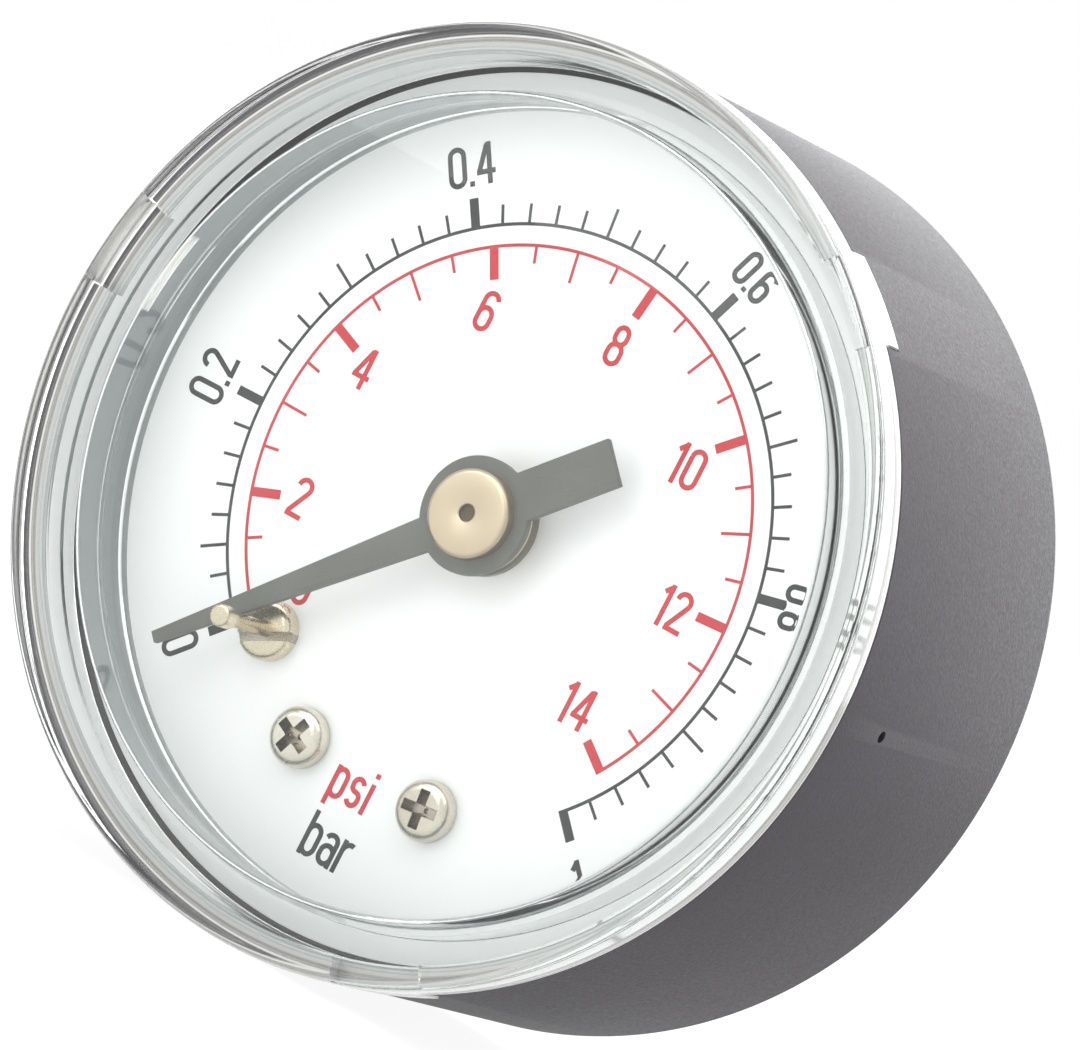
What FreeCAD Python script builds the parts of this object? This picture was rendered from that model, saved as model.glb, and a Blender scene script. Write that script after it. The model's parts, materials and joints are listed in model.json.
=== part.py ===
import FreeCAD, Part
import math
import os

# Pressure gauge for a pool filter: 50 mm case, centre back connection, Bourdon tube movement.
# Lengths are millimetres. X points right and Z up as the dial is read, and the dial faces -Y.
# The origin is the middle of the sealing shoulder of the stem, where the hexagon ends and the
# thread begins. A clock angle is counted clockwise from the top of the dial, in degrees.

V = FreeCAD.Vector

# Case and its fixing to the socket
CASE_RADIUS = 25.0
CASE_WALL = 1.3
CASE_FLOOR = 2.0
CASE_DEPTH = 15.3
CASE_RIM_HEIGHT = 5.2
CASE_EDGE_ROUND = 0.8
NECK_CLEARANCE = 0.1
VENT_RADIUS = 0.25
VENT_DEPTH = 1.3
VENT_CLOCK = 90.0
CASE_SCREW_SPACING = 20.8
CASE_SCREW_RADIUS = 1.25
CASE_SCREW_LENGTH = 4.6
CASE_SCREW_HEAD_RADIUS = 2.3
CASE_SCREW_HEAD_HEIGHT = 1.5
SCREW_HOLE_CLEARANCE = 0.15

# Clear snap-on lens
LENS_OVERHANG = 0.1
LENS_HEIGHT = 7.75
LENS_CORNER_ROUND = 0.9
LENS_WINDOW_THICKNESS = 1.65
LENS_SKIRT_WALL = 2.0
LENS_BORE_STEP = 0.35
LENS_BORE_STEP_HEIGHT = 3.2
LENS_SKIRT_CLEARANCE = 0.1
LENS_SEAT_GAP = 0.05
LENS_DIAL_GAP = 0.2
SNAP_BEAD_RADIUS = 0.3
SNAP_BEAD_HEIGHT = 2.4
SNAP_CLEARANCE = 0.05
LUG_COUNT = 3
FIRST_LUG_CLOCK = 39.0
LUG_LENGTH = 5.2
LUG_DEPTH = 1.4
LUG_CLEARANCE = 0.1

# Dial and its screws
DIAL_CASE_GAP = 0.4
DIAL_THICKNESS = 0.4
DIAL_CENTRE_HOLE_RADIUS = 1.5
DIAL_SCREW_RADIUS = 1.0
DIAL_SCREW_LENGTH = 5.0
DIAL_SCREW_HEAD_RADIUS = 1.65
DIAL_SCREW_HEAD_HEIGHT = 1.2
DIAL_SCREW_HALF_SPACING = 4.35
DIAL_SCREW_DROP = 14.8
RECESS_WIDTH_RATIO = 0.3
RECESS_LENGTH_RATIO = 1.25
RECESS_DEPTH_RATIO = 0.6
HEAD_ROUND_RATIO = 0.35
HEAD_ROUND_LIMIT = 0.8
LEFT_SCREW_TURN = 24.0
RIGHT_SCREW_TURN = -7.0

# Stop post: a screw with a tall pin that the pointer rests against at zero
STOP_PIN_RADIUS = 0.6
STOP_PIN_PLACE = 14.0
STOP_PIN_HEIGHT = 5.6
STOP_FOOT_RADIUS = 1.65
STOP_FOOT_HEIGHT = 1.1
STOP_SLOT_WIDTH = 0.5
STOP_SLOT_DEPTH = 0.55
STOP_SLOT_CLOCK = 64.0
STOP_GAP = 0.03

# Pointer and the bush that carries it
POINTER_ZERO_CLOCK = -135.0
POINTER_SWEEP = 270.0
POINTER_HEIGHT = 2.1
POINTER_THICKNESS = 0.4
POINTER_LENGTH = 19.1
POINTER_ROOT_WIDTH = 2.15
POINTER_TIP_WIDTH = 0.7
POINTER_TAIL_LENGTH = 8.35
POINTER_TAIL_WIDTH = 2.6
POINTER_RING_RADIUS = 3.15
HUB_BARREL_RADIUS = 1.5
HUB_COLLAR_RADIUS = 2.75
HUB_COLLAR_HEIGHT = 1.5
HUB_HEAD_RADIUS = 2.37
HUB_HEAD_HEIGHT = 0.8
HUB_HEAD_CHAMFER = 0.25

# Gear train
MODULE = 0.2
PINION_TEETH = 12
SECTOR_WHEEL_TEETH = 96
SECTOR_SPARE_TEETH = 2
PRESSURE_ANGLE = 20.0
GEAR_BACKLASH = 0.04
ADDENDUM_RATIO = 0.85
DEDENDUM_RATIO = 1.2
PINION_FACE_WIDTH = 2.0
ARBOR_RADIUS = 0.65
ARBOR_TIP_RADIUS = 0.45
JOURNAL_RADIUS = 0.4
PIVOT_CLEARANCE = 0.05
SECTOR_CLOCK = 150.0
SECTOR_THICKNESS = 0.8
SECTOR_RIM_WIDTH = 1.3
SECTOR_HUB_RADIUS = 1.6
SECTOR_ARM_WIDTH = 1.5
TAIL_LENGTH = 4.8
TAIL_END_RADIUS = 1.05

# Link from the tube tip to the tail of the sector
TIP_TRAVEL_ANGLE = 60.0
LINK_LENGTH = 8.0
LINK_THICKNESS = 0.5
LINK_EYE_RADIUS = 1.05
LINK_WAIST_WIDTH = 1.2
LINK_PIN_RADIUS = 0.5
LINK_PIN_HEAD_RADIUS = 0.85
LINK_PIN_HEAD_HEIGHT = 0.25
LINK_PIN_CLEARANCE = 0.05
OPEN_PIVOT_CLEARANCE = 0.16
LINK_SIDE_GAP = 0.4

# Movement frame
TOP_PLATE_GAP = 1.2
TOP_PLATE_THICKNESS = 0.8
PILLAR_LENGTH = 4.0
BOTTOM_PLATE_THICKNESS = 1.0
PLATE_HALF_WIDTH = 5.0
PLATE_TOP_REACH = 7.3
PLATE_BOTTOM_REACH = 12.5
PLATE_CORNER_RADIUS = 1.6
PILLAR_RADIUS = 1.0
PILLAR_INSET = 1.7
PLATE_SCREW_RADIUS = 0.5
PLATE_SCREW_LENGTH = 2.2
PLATE_SCREW_HEAD_RADIUS = 0.95
PLATE_SCREW_HEAD_HEIGHT = 0.5
MOVEMENT_SCREW_RADIUS = 0.9
MOVEMENT_SCREW_LENGTH = 3.2
MOVEMENT_SCREW_HEAD_RADIUS = 1.5
MOVEMENT_SCREW_HEAD_HEIGHT = 0.9
MOVEMENT_SCREW_REACH = 7.0
MOVEMENT_SCREW_HALF_SPACING = 2.8
SECTOR_PLANE_GAP = 1.6

# Hairspring
HAIRSPRING_TURNS = 4
SPIRAL_POINTS_PER_TURN = 8
HAIRSPRING_INNER_RADIUS = 1.15
HAIRSPRING_OUTER_RADIUS = 4.4
HAIRSPRING_WIDTH = 0.5
HAIRSPRING_STRIP = 0.12
HAIRSPRING_PLATE_GAP = 0.3
COLLET_RADIUS = 1.15
STUD_RADIUS = 0.45
STUD_OVERHANG = 0.5
STUD_CLOCK = 240.0

# Bourdon tube and the piece that closes its free end
TUBE_RADIUS = 18.5
TUBE_WIDTH = 5.0
TUBE_DEPTH = 1.3
TUBE_WALL = 0.25
TUBE_SETBACK = 0.5
TUBE_ROOT_CLOCK = 186.0
TUBE_TIP_CLOCK = 472.0
END_PIECE_GRIP_ANGLE = 4.5
END_PIECE_CAP_ANGLE = 7.5
END_PIECE_WALL = 0.6
END_LUG_RADIUS = 1.15

# Socket with the threaded stem
HEX_ACROSS_FLATS = 14.0
HEX_LENGTH = 9.0
HEX_CHAMFER = 0.9
NECK_RADIUS = 8.2
FLANGE_RADIUS = 12.5
FLANGE_THICKNESS = 3.0
BOSS_RADIUS = 9.0
BLOCK_HALF_WIDTH = 6.2
BLOCK_TOP_DROP = 14.1
BLOCK_UNDER_TUBE = 1.75
BLOCK_COVER = 0.7
POST_RADIUS = 2.0
POST_ARM_ROOT_RADIUS = 3.0
THREAD_RADIUS = 6.5785
THREAD_DEPTH = 0.856
THREAD_PITCH = 1.337
THREAD_CREST = 0.3
THREAD_LENGTH = 13.0
THREAD_RELIEF = 2.2
SPIGOT_RADIUS = 4.0
SPIGOT_LENGTH = 2.0
STEM_BORE_RADIUS = 1.6
PASSAGE_RADIUS = 0.9
RESTRICTOR_LENGTH = 3.0
RESTRICTOR_INSET = 1.0
RESTRICTOR_HOLE_RADIUS = 0.25
RESTRICTOR_SLOT_WIDTH = 0.5
RESTRICTOR_SLOT_DEPTH = 0.6

# Planes along the gauge axis, each worked out from its neighbour
case_back = -HEX_LENGTH
case_floor = case_back - CASE_FLOOR
dial_face = case_back - CASE_DEPTH
dial_back = dial_face + DIAL_THICKNESS
case_rim = dial_face - CASE_RIM_HEIGHT
pointer_back = dial_face - POINTER_HEIGHT
pointer_front = pointer_back - POINTER_THICKNESS
top_plate_front = dial_back + TOP_PLATE_GAP
top_plate_back = top_plate_front + TOP_PLATE_THICKNESS
bottom_plate_front = top_plate_back + PILLAR_LENGTH
bottom_plate_back = bottom_plate_front + BOTTOM_PLATE_THICKNESS
sector_front = top_plate_back + SECTOR_PLANE_GAP
sector_back = sector_front + SECTOR_THICKNESS
link_back = sector_front - LINK_SIDE_GAP
link_front = link_back - LINK_THICKNESS
hairspring_back = bottom_plate_front - HAIRSPRING_PLATE_GAP
hairspring_front = hairspring_back - HAIRSPRING_WIDTH
tube_middle = bottom_plate_front + TUBE_SETBACK
tube_front = tube_middle - TUBE_WIDTH / 2
tube_back = tube_middle + TUBE_WIDTH / 2
case_bore_radius = CASE_RADIUS - CASE_WALL
skirt_radius = case_bore_radius - LENS_SKIRT_CLEARANCE
lens_bore_radius = skirt_radius - LENS_SKIRT_WALL
dial_radius = case_bore_radius - DIAL_CASE_GAP
block_bottom_radius = TUBE_RADIUS + TUBE_DEPTH / 2 + BLOCK_UNDER_TUBE

# Places in the plane of the dial, as X and Z
pinion_pitch_radius = MODULE * PINION_TEETH / 2
sector_pitch_radius = MODULE * SECTOR_WHEEL_TEETH / 2
pivot_distance = pinion_pitch_radius + sector_pitch_radius
sector_swing = POINTER_SWEEP * PINION_TEETH / SECTOR_WHEEL_TEETH


def clock(radius, degrees, centre=(0.0, 0.0)):
    """Place at a radius and clock angle round a centre."""
    turn = math.radians(degrees)
    return (centre[0] + radius * math.sin(turn), centre[1] + radius * math.cos(turn))


def shifted(place, distance, degrees):
    return clock(distance, degrees, place)


gauge_axis = (0.0, 0.0)
sector_pivot = clock(pivot_distance, SECTOR_CLOCK)
travel_clock = 90.0 - TIP_TRAVEL_ANGLE
tail_middle_clock = travel_clock + 90.0
tail_rest_clock = tail_middle_clock + sector_swing / 2
tail_pin_place = clock(TAIL_LENGTH, tail_rest_clock, sector_pivot)
tail_sagitta = TAIL_LENGTH * (1 - math.cos(math.radians(sector_swing / 2)))
tip_travel = 2 * TAIL_LENGTH * math.sin(math.radians(sector_swing / 2))
link_eye_place = shifted(tail_pin_place, LINK_LENGTH, travel_clock)
tip_pin_place = shifted(link_eye_place, tail_sagitta / 2, tail_middle_clock)


# Shapes that several pieces share

def rod(radius, front, back, place=gauge_axis):
    return Part.makeCylinder(radius, back - front, V(place[0], front, place[1]), V(0, 1, 0))


def turned(profile):
    """Solid of revolution about the gauge axis, from a closed list of (radius, y) corners."""
    corners = [V(radius, y, 0) for radius, y in profile]
    face = Part.Face(Part.makePolygon(corners + corners[:1]))
    return face.revolve(V(0, 0, 0), V(0, 1, 0), 360)


def plate(outline, front, back):
    """Flat plate with an outline of (x, z) corners."""
    corners = [V(x, front, z) for x, z in outline]
    face = Part.Face(Part.makePolygon(corners + corners[:1]))
    return face.extrude(V(0, back - front, 0))


def strap(start, end, start_radius, end_radius, front, back):
    """Flat bar with round ends, tapering where its end radii differ."""
    run = math.hypot(end[0] - start[0], end[1] - start[1])
    heading = math.degrees(math.atan2(end[0] - start[0], end[1] - start[1]))
    lean = math.degrees(math.acos((start_radius - end_radius) / run))
    sides = (heading - lean, heading + lean)
    outline = [clock(start_radius, sides[0], start), clock(end_radius, sides[0], end)]
    outline += [clock(end_radius, sides[1], end), clock(start_radius, sides[1], start)]
    bar = plate(outline, front, back)
    ends = [rod(start_radius, front, back, start), rod(end_radius, front, back, end)]
    return bar.fuse(ends).removeSplitter()


def arc_block(inner, outer, first, last, front, back):
    """Part of a ring between two radii and two clock angles."""
    corners = [V(inner, front, 0), V(outer, front, 0), V(outer, back, 0), V(inner, back, 0)]
    face = Part.Face(Part.makePolygon(corners + corners[:1]))
    face.rotate(V(0, 0, 0), V(0, 1, 0), first - 90)
    return face.revolve(V(0, 0, 0), V(0, 1, 0), last - first)


def round_edges(shape, radius, y):
    """Circular edges of a radius round the gauge axis, in one plane."""
    found = []
    for edge in shape.Edges:
        box = edge.BoundBox
        in_plane = abs(box.YMin - y) < 1e-4 and abs(box.YMax - y) < 1e-4
        if in_plane and abs(box.XMax - radius) < 1e-4:
            found.append(edge)
    return found


def along_axis(edge):
    ends = [vertex.Point for vertex in edge.Vertexes]
    if len(ends) < 2:
        return False
    run = ends[1] - ends[0]
    return abs(run.x) + abs(run.z) < 1e-6


def rounded(shape, radius):
    """Rounds the corners of a plate that run along the gauge axis."""
    return shape.makeFillet(radius, [edge for edge in shape.Edges if along_axis(edge)])


def slot_cut(half_length, half_width, front, back, place, turn):
    """Straight slot through a place, turned clockwise from upright."""
    corners = []
    for along, across in ((-1, -1), (-1, 1), (1, 1), (1, -1)):
        middle = clock(along * half_length, turn, place)
        corners.append(clock(across * half_width, turn + 90, middle))
    return plate(corners, front, back)


def cross_recess(radius, front, height, place, turn):
    arm = radius * RECESS_LENGTH_RATIO / 2
    half = radius * RECESS_WIDTH_RATIO / 2
    back = front + height * RECESS_DEPTH_RATIO
    bars = [slot_cut(arm, half, front, back, place, turn + side) for side in (0, 90)]
    return bars[0].fuse(bars[1])


def domed_head(radius, height, seat, place):
    """Round screw head in front of its seat, with a rounded rim."""
    head = rod(radius, seat - height, seat)
    rim = round_edges(head, radius, seat - height)
    head = head.makeFillet(min(radius * HEAD_ROUND_RATIO, height * HEAD_ROUND_LIMIT), rim)
    head.translate(V(place[0], 0, place[1]))
    return head


def pan_screw(place, seat, length, radius, head_radius, head_height, turn=0.0):
    """Cross-head screw whose head stands in front of its seat."""
    head = domed_head(head_radius, head_height, seat, place)
    shank = rod(radius, seat, seat + length, place)
    recess = cross_recess(head_radius, seat - head_height, head_height, place, turn)
    return head.fuse(shank).cut(recess)


# Case, lens and their fixing

def lug_clocks():
    return [FIRST_LUG_CLOCK + 360.0 * index / LUG_COUNT for index in range(LUG_COUNT)]


def make_case():
    bore = case_bore_radius
    cup = turned([(0, case_back), (CASE_RADIUS, case_back), (CASE_RADIUS, case_rim),
                  (bore, case_rim), (bore, case_floor), (0, case_floor)])
    cup = cup.makeFillet(CASE_EDGE_ROUND, round_edges(cup, CASE_RADIUS, case_back))
    cuts = [rod(NECK_RADIUS + NECK_CLEARANCE, case_floor, case_back)]
    for place in case_screw_places():
        cuts.append(rod(CASE_SCREW_RADIUS + SCREW_HOLE_CLEARANCE, case_floor, case_back, place))
    cuts.append(snap_ring(bore, SNAP_BEAD_RADIUS + SNAP_CLEARANCE))
    spread = math.degrees((LUG_LENGTH / 2 + LUG_CLEARANCE) / CASE_RADIUS)
    notch_back = case_rim + LUG_DEPTH + LUG_CLEARANCE
    for middle in lug_clocks():
        notch = arc_block(bore - LUG_CLEARANCE, CASE_RADIUS + LUG_CLEARANCE, middle - spread,
                          middle + spread, case_rim - LUG_CLEARANCE, notch_back)
        cuts.append(notch)
    out_x, out_z = clock(1.0, VENT_CLOCK)
    vent_y = dial_face + VENT_DEPTH
    drilled = CASE_RADIUS + CASE_WALL
    cuts.append(Part.makeCylinder(VENT_RADIUS, drilled, V(0, vent_y, 0), V(out_x, 0, out_z)))
    return cup.cut(cuts)


def snap_ring(radius, thickness):
    """Ring of round section that snaps the lens into the bore of the case."""
    return Part.makeTorus(radius, thickness, V(0, dial_face - SNAP_BEAD_HEIGHT, 0), V(0, 1, 0))


def make_lens():
    """Flat window with a rounded edge, and a skirt that plugs into the bore of the case."""
    outer = CASE_RADIUS + LENS_OVERHANG
    top = dial_face - LENS_HEIGHT
    seat = case_rim - LENS_SEAT_GAP
    skirt_end = dial_face - LENS_DIAL_GAP
    under = top + LENS_WINDOW_THICKNESS
    step = dial_face - LENS_BORE_STEP_HEIGHT
    wide = lens_bore_radius + LENS_BORE_STEP
    body = turned([(0, top), (outer, top), (outer, seat), (skirt_radius, seat), (skirt_radius, skirt_end),
                   (wide, skirt_end), (wide, step), (lens_bore_radius, step), (lens_bore_radius, under),
                   (0, under)])
    corner = round_edges(body, outer, top)
    body = body.makeFillet(LENS_CORNER_ROUND, corner)
    bead = snap_ring(skirt_radius, SNAP_BEAD_RADIUS)
    half = math.degrees(LUG_LENGTH / 2 / CASE_RADIUS)
    lugs = [arc_block(wide, outer, middle - half, middle + half, seat - LENS_SEAT_GAP,
                      case_rim + LUG_DEPTH) for middle in lug_clocks()]
    return body.fuse([bead] + lugs).removeSplitter()


def case_screw_places():
    return [(side * CASE_SCREW_SPACING / 2, 0.0) for side in (-1, 1)]


def make_case_screws():
    """Two screws that hold the case to the flange of the socket from behind."""
    screws = []
    for place in case_screw_places():
        screw = pan_screw(place, 0.0, CASE_SCREW_LENGTH, CASE_SCREW_RADIUS,
                          CASE_SCREW_HEAD_RADIUS, CASE_SCREW_HEAD_HEIGHT)
        screw.rotate(V(place[0], 0, place[1]), V(0, 0, 1), 180)
        screw.translate(V(0, case_back, 0))
        screws.append(screw)
    return Part.makeCompound(screws)


# Dial

def dial_screw_places():
    return [(side * DIAL_SCREW_HALF_SPACING, -DIAL_SCREW_DROP) for side in (-1, 1)]


def stop_place():
    """Place of the stop pin, so that the side of the resting pointer meets it."""
    taper = (POINTER_ROOT_WIDTH - POINTER_TIP_WIDTH) / (POINTER_LENGTH - POINTER_RING_RADIUS)
    half_width = (POINTER_TIP_WIDTH + taper * (POINTER_LENGTH - STOP_PIN_PLACE)) / 2
    offset = half_width + STOP_PIN_RADIUS + STOP_GAP
    return clock(STOP_PIN_PLACE, POINTER_ZERO_CLOCK - math.degrees(math.asin(offset / STOP_PIN_PLACE)))


def post_places():
    """Posts of the socket that carry the dial: two under screws and one under the stop."""
    return dial_screw_places() + [stop_place()]


def make_dial():
    disc = rod(dial_radius, dial_face, dial_back)
    cuts = [rod(DIAL_CENTRE_HOLE_RADIUS, dial_face, dial_back)]
    for place in post_places():
        cuts.append(rod(DIAL_SCREW_RADIUS + SCREW_HOLE_CLEARANCE, dial_face, dial_back, place))
    return disc.cut(cuts)


def make_dial_screws():
    turns = (LEFT_SCREW_TURN, RIGHT_SCREW_TURN)
    screws = [pan_screw(place, dial_face, DIAL_SCREW_LENGTH, DIAL_SCREW_RADIUS, DIAL_SCREW_HEAD_RADIUS,
                        DIAL_SCREW_HEAD_HEIGHT, turn) for place, turn in zip(dial_screw_places(), turns)]
    return Part.makeCompound(screws)


def make_stop_post():
    place = stop_place()
    foot_front = dial_face - STOP_FOOT_HEIGHT
    foot = domed_head(STOP_FOOT_RADIUS, STOP_FOOT_HEIGHT, dial_face, place)
    slot = slot_cut(STOP_FOOT_RADIUS * 2, STOP_SLOT_WIDTH / 2, foot_front, foot_front + STOP_SLOT_DEPTH,
                    place, STOP_SLOT_CLOCK)
    tip_middle = dial_face - STOP_PIN_HEIGHT + STOP_PIN_RADIUS
    pin = rod(STOP_PIN_RADIUS, tip_middle, dial_face, place)
    tip = Part.makeSphere(STOP_PIN_RADIUS, V(place[0], tip_middle, place[1]))
    shank = rod(DIAL_SCREW_RADIUS, dial_face, dial_face + DIAL_SCREW_LENGTH, place)
    return foot.cut(slot).fuse([pin, tip, shank]).removeSplitter()


# Pointer

def make_pointer():
    half_root = POINTER_ROOT_WIDTH / 2
    half_tip = POINTER_TIP_WIDTH / 2
    half_tail = POINTER_TAIL_WIDTH / 2
    arm = [(-half_root, 0), (-half_root, POINTER_RING_RADIUS), (-half_tip, POINTER_LENGTH),
           (half_tip, POINTER_LENGTH), (half_root, POINTER_RING_RADIUS), (half_root, 0)]
    tail = [(-half_tail, 0), (half_tail, 0), (half_tail, -POINTER_TAIL_LENGTH),
            (-half_tail, -POINTER_TAIL_LENGTH)]
    pieces = [plate(outline, pointer_front, pointer_back) for outline in (arm, tail)]
    ring = rod(POINTER_RING_RADIUS, pointer_front, pointer_back)
    blade = ring.fuse(pieces).removeSplitter()
    blade = blade.cut(rod(HUB_BARREL_RADIUS, pointer_front, pointer_back))
    blade.rotate(V(0, 0, 0), V(0, 1, 0), POINTER_ZERO_CLOCK)
    return blade


def make_pointer_hub():
    """Brass bush riveted through the pointer and pressed on the tip of the pinion arbor."""
    head_front = pointer_front - HUB_HEAD_HEIGHT
    return turned([(ARBOR_TIP_RADIUS, head_front), (HUB_HEAD_RADIUS - HUB_HEAD_CHAMFER, head_front),
                   (HUB_HEAD_RADIUS, head_front + HUB_HEAD_CHAMFER), (HUB_HEAD_RADIUS, pointer_front),
                   (HUB_BARREL_RADIUS, pointer_front), (HUB_BARREL_RADIUS, pointer_back),
                   (HUB_COLLAR_RADIUS, pointer_back), (HUB_COLLAR_RADIUS, pointer_back + HUB_COLLAR_HEIGHT),
                   (ARBOR_TIP_RADIUS, pointer_back + HUB_COLLAR_HEIGHT)])


# Gears

def tooth_flank(teeth):
    """Radius and half angle in degrees at the root, base or pitch, and tip of an involute tooth."""
    pitch = MODULE * teeth / 2
    base = pitch * math.cos(math.radians(PRESSURE_ANGLE))
    root = pitch - MODULE * DEDENDUM_RATIO
    tip = pitch + MODULE * ADDENDUM_RATIO
    at_pitch = math.pi / (2 * teeth) - GEAR_BACKLASH / (2 * pitch)

    def involute(radius):
        angle = math.acos(min(1.0, base / radius))
        return math.tan(angle) - angle

    radii = [root, max(root, base), pitch, (pitch + tip) / 2, tip]
    halves = [at_pitch + involute(pitch) - involute(max(radius, base)) for radius in radii]
    return [(radius, math.degrees(half)) for radius, half in zip(radii, halves)]


def tooth_outline(teeth, middle, centre):
    """Corners of one tooth, clockwise, with its middle at a clock angle."""
    flank = tooth_flank(teeth)
    rising = [clock(radius, middle - half, centre) for radius, half in flank]
    falling = [clock(radius, middle + half, centre) for radius, half in reversed(flank)]
    return rising + falling


def make_pinion():
    """Pinion cut on its arbor, with a journal in each plate and the tip that carries the pointer."""
    gear_middle = (sector_front + sector_back) / 2
    gear_front = gear_middle - PINION_FACE_WIDTH / 2
    gear_back = gear_middle + PINION_FACE_WIDTH / 2
    outline = []
    for index in range(PINION_TEETH):
        outline += tooth_outline(PINION_TEETH, SECTOR_CLOCK + 360.0 * index / PINION_TEETH, gauge_axis)
    gear = plate(outline, gear_front, gear_back)
    hub_front = pointer_front - HUB_HEAD_HEIGHT
    tip = rod(ARBOR_TIP_RADIUS, hub_front + HUB_HEAD_CHAMFER, pointer_back + HUB_COLLAR_HEIGHT)
    arbor = rod(ARBOR_RADIUS, pointer_back + HUB_COLLAR_HEIGHT, hairspring_back)
    journal = rod(JOURNAL_RADIUS, hairspring_back, bottom_plate_back)
    return gear.fuse([tip, arbor, journal]).removeSplitter()


def make_sector_gear():
    """Toothed sector on its hub, with the tail that the link pulls."""
    to_pinion = SECTOR_CLOCK - 180.0
    step = 360.0 / SECTOR_WHEEL_TEETH
    in_mesh = int(math.ceil(sector_swing / step))
    first = to_pinion - (SECTOR_SPARE_TEETH - 0.5) * step
    root = sector_pitch_radius - MODULE * DEDENDUM_RATIO
    rim_inner = root - SECTOR_RIM_WIDTH
    count = in_mesh + 2 * SECTOR_SPARE_TEETH
    last = first + (count - 1) * step
    outline = []
    for index in range(count):
        outline += tooth_outline(SECTOR_WHEEL_TEETH, first + index * step, sector_pivot)
    inside = [clock(rim_inner, angle, sector_pivot) for angle in (last, (first + last) / 2, first)]
    toothed = plate(outline + inside, sector_front, sector_back)
    rim = arc_block(rim_inner, root, first - step / 2, last + step / 2, sector_front, sector_back)
    rim.translate(V(sector_pivot[0], 0, sector_pivot[1]))
    hub = rod(SECTOR_HUB_RADIUS, sector_front, sector_back, sector_pivot)
    half = SECTOR_ARM_WIDTH / 2
    reach = rim_inner + SECTOR_RIM_WIDTH / 2
    arms = [strap(sector_pivot, clock(reach, angle, sector_pivot), half, half, sector_front, sector_back)
            for angle in (first + step, last - step)]
    tail = strap(sector_pivot, tail_pin_place, SECTOR_HUB_RADIUS, TAIL_END_RADIUS, sector_front, sector_back)
    body = toothed.fuse([rim, hub, tail] + arms).removeSplitter()
    return body.cut([rod(ARBOR_RADIUS, sector_front, sector_back, sector_pivot),
                     rod(LINK_PIN_RADIUS, sector_front, sector_back, tail_pin_place)])


def make_sector_arbor():
    shoulder = (top_plate_back + PIVOT_CLEARANCE, bottom_plate_front - PIVOT_CLEARANCE)
    body = rod(ARBOR_RADIUS, shoulder[0], shoulder[1], sector_pivot)
    ends = [rod(JOURNAL_RADIUS, top_plate_front, shoulder[0], sector_pivot),
            rod(JOURNAL_RADIUS, shoulder[1], bottom_plate_back, sector_pivot)]
    return body.fuse(ends).removeSplitter()


# Link and its pins

def make_link():
    eyes = [rod(LINK_EYE_RADIUS, link_front, link_back, place) for place in (tail_pin_place, link_eye_place)]
    half = LINK_WAIST_WIDTH / 2
    bar = strap(tail_pin_place, link_eye_place, half, half, link_front, link_back)
    holes = [rod(LINK_PIN_RADIUS + LINK_PIN_CLEARANCE, link_front, link_back, tail_pin_place),
             rod(LINK_PIN_RADIUS + OPEN_PIVOT_CLEARANCE, link_front, link_back, link_eye_place)]
    return bar.fuse(eyes).removeSplitter().cut(holes)


def link_pin(place, back):
    """Riveted pin that keeps an eye of the link on the piece behind it."""
    head_back = link_front - PIVOT_CLEARANCE
    head = rod(LINK_PIN_HEAD_RADIUS, head_back - LINK_PIN_HEAD_HEIGHT, head_back, place)
    spacer = rod(LINK_PIN_HEAD_RADIUS, link_back + PIVOT_CLEARANCE, sector_front, place)
    return rod(LINK_PIN_RADIUS, head_back, back, place).fuse([head, spacer]).removeSplitter()


# Movement frame, placed along the line from the gauge axis to the sector pivot

def on_frame(along, across):
    """Place in the frame: along runs from the sector towards the pinion and past it."""
    return clock(across, SECTOR_CLOCK - 90.0, clock(along, SECTOR_CLOCK - 180.0))


def frame_plate(front, back):
    top, low, side = PLATE_TOP_REACH, -PLATE_BOTTOM_REACH, PLATE_HALF_WIDTH
    outline = [on_frame(top, -side), on_frame(top, side), on_frame(low, side), on_frame(low, -side)]
    return rounded(plate(outline, front, back), PLATE_CORNER_RADIUS)


def pillar_places():
    top = PLATE_TOP_REACH - PILLAR_INSET
    low = PILLAR_INSET - PLATE_BOTTOM_REACH
    side = PLATE_HALF_WIDTH - PILLAR_INSET
    return [on_frame(top, -side), on_frame(top, side), on_frame(low, -side)]


def movement_screw_places():
    return [on_frame(-MOVEMENT_SCREW_REACH, side * MOVEMENT_SCREW_HALF_SPACING) for side in (-1, 1)]


def stud_place():
    return clock(HAIRSPRING_OUTER_RADIUS, STUD_CLOCK)


def make_top_plate():
    body = frame_plate(top_plate_front, top_plate_back)
    cuts = [rod(ARBOR_RADIUS + PIVOT_CLEARANCE, top_plate_front, top_plate_back)]
    cuts.append(rod(JOURNAL_RADIUS + PIVOT_CLEARANCE, top_plate_front, top_plate_back, sector_pivot))
    for place in pillar_places():
        cuts.append(rod(PLATE_SCREW_RADIUS, top_plate_front, top_plate_back, place))
    return body.cut(cuts)


def make_bottom_plate():
    body = frame_plate(bottom_plate_front, bottom_plate_back)
    cuts = [rod(JOURNAL_RADIUS + PIVOT_CLEARANCE, bottom_plate_front, bottom_plate_back, place)
            for place in (gauge_axis, sector_pivot)]
    for place in movement_screw_places():
        cuts.append(rod(MOVEMENT_SCREW_RADIUS + SCREW_HOLE_CLEARANCE, bottom_plate_front,
                        bottom_plate_back, place))
    cuts.append(rod(STUD_RADIUS, bottom_plate_front, bottom_plate_back, stud_place()))
    return body.cut(cuts)


def make_pillars():
    pillars = []
    for place in pillar_places():
        pillar = rod(PILLAR_RADIUS, top_plate_back, bottom_plate_front, place)
        tapped = rod(PLATE_SCREW_RADIUS, top_plate_back, top_plate_front + PLATE_SCREW_LENGTH, place)
        pillars.append(pillar.cut(tapped))
    return Part.makeCompound(pillars)


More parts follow.
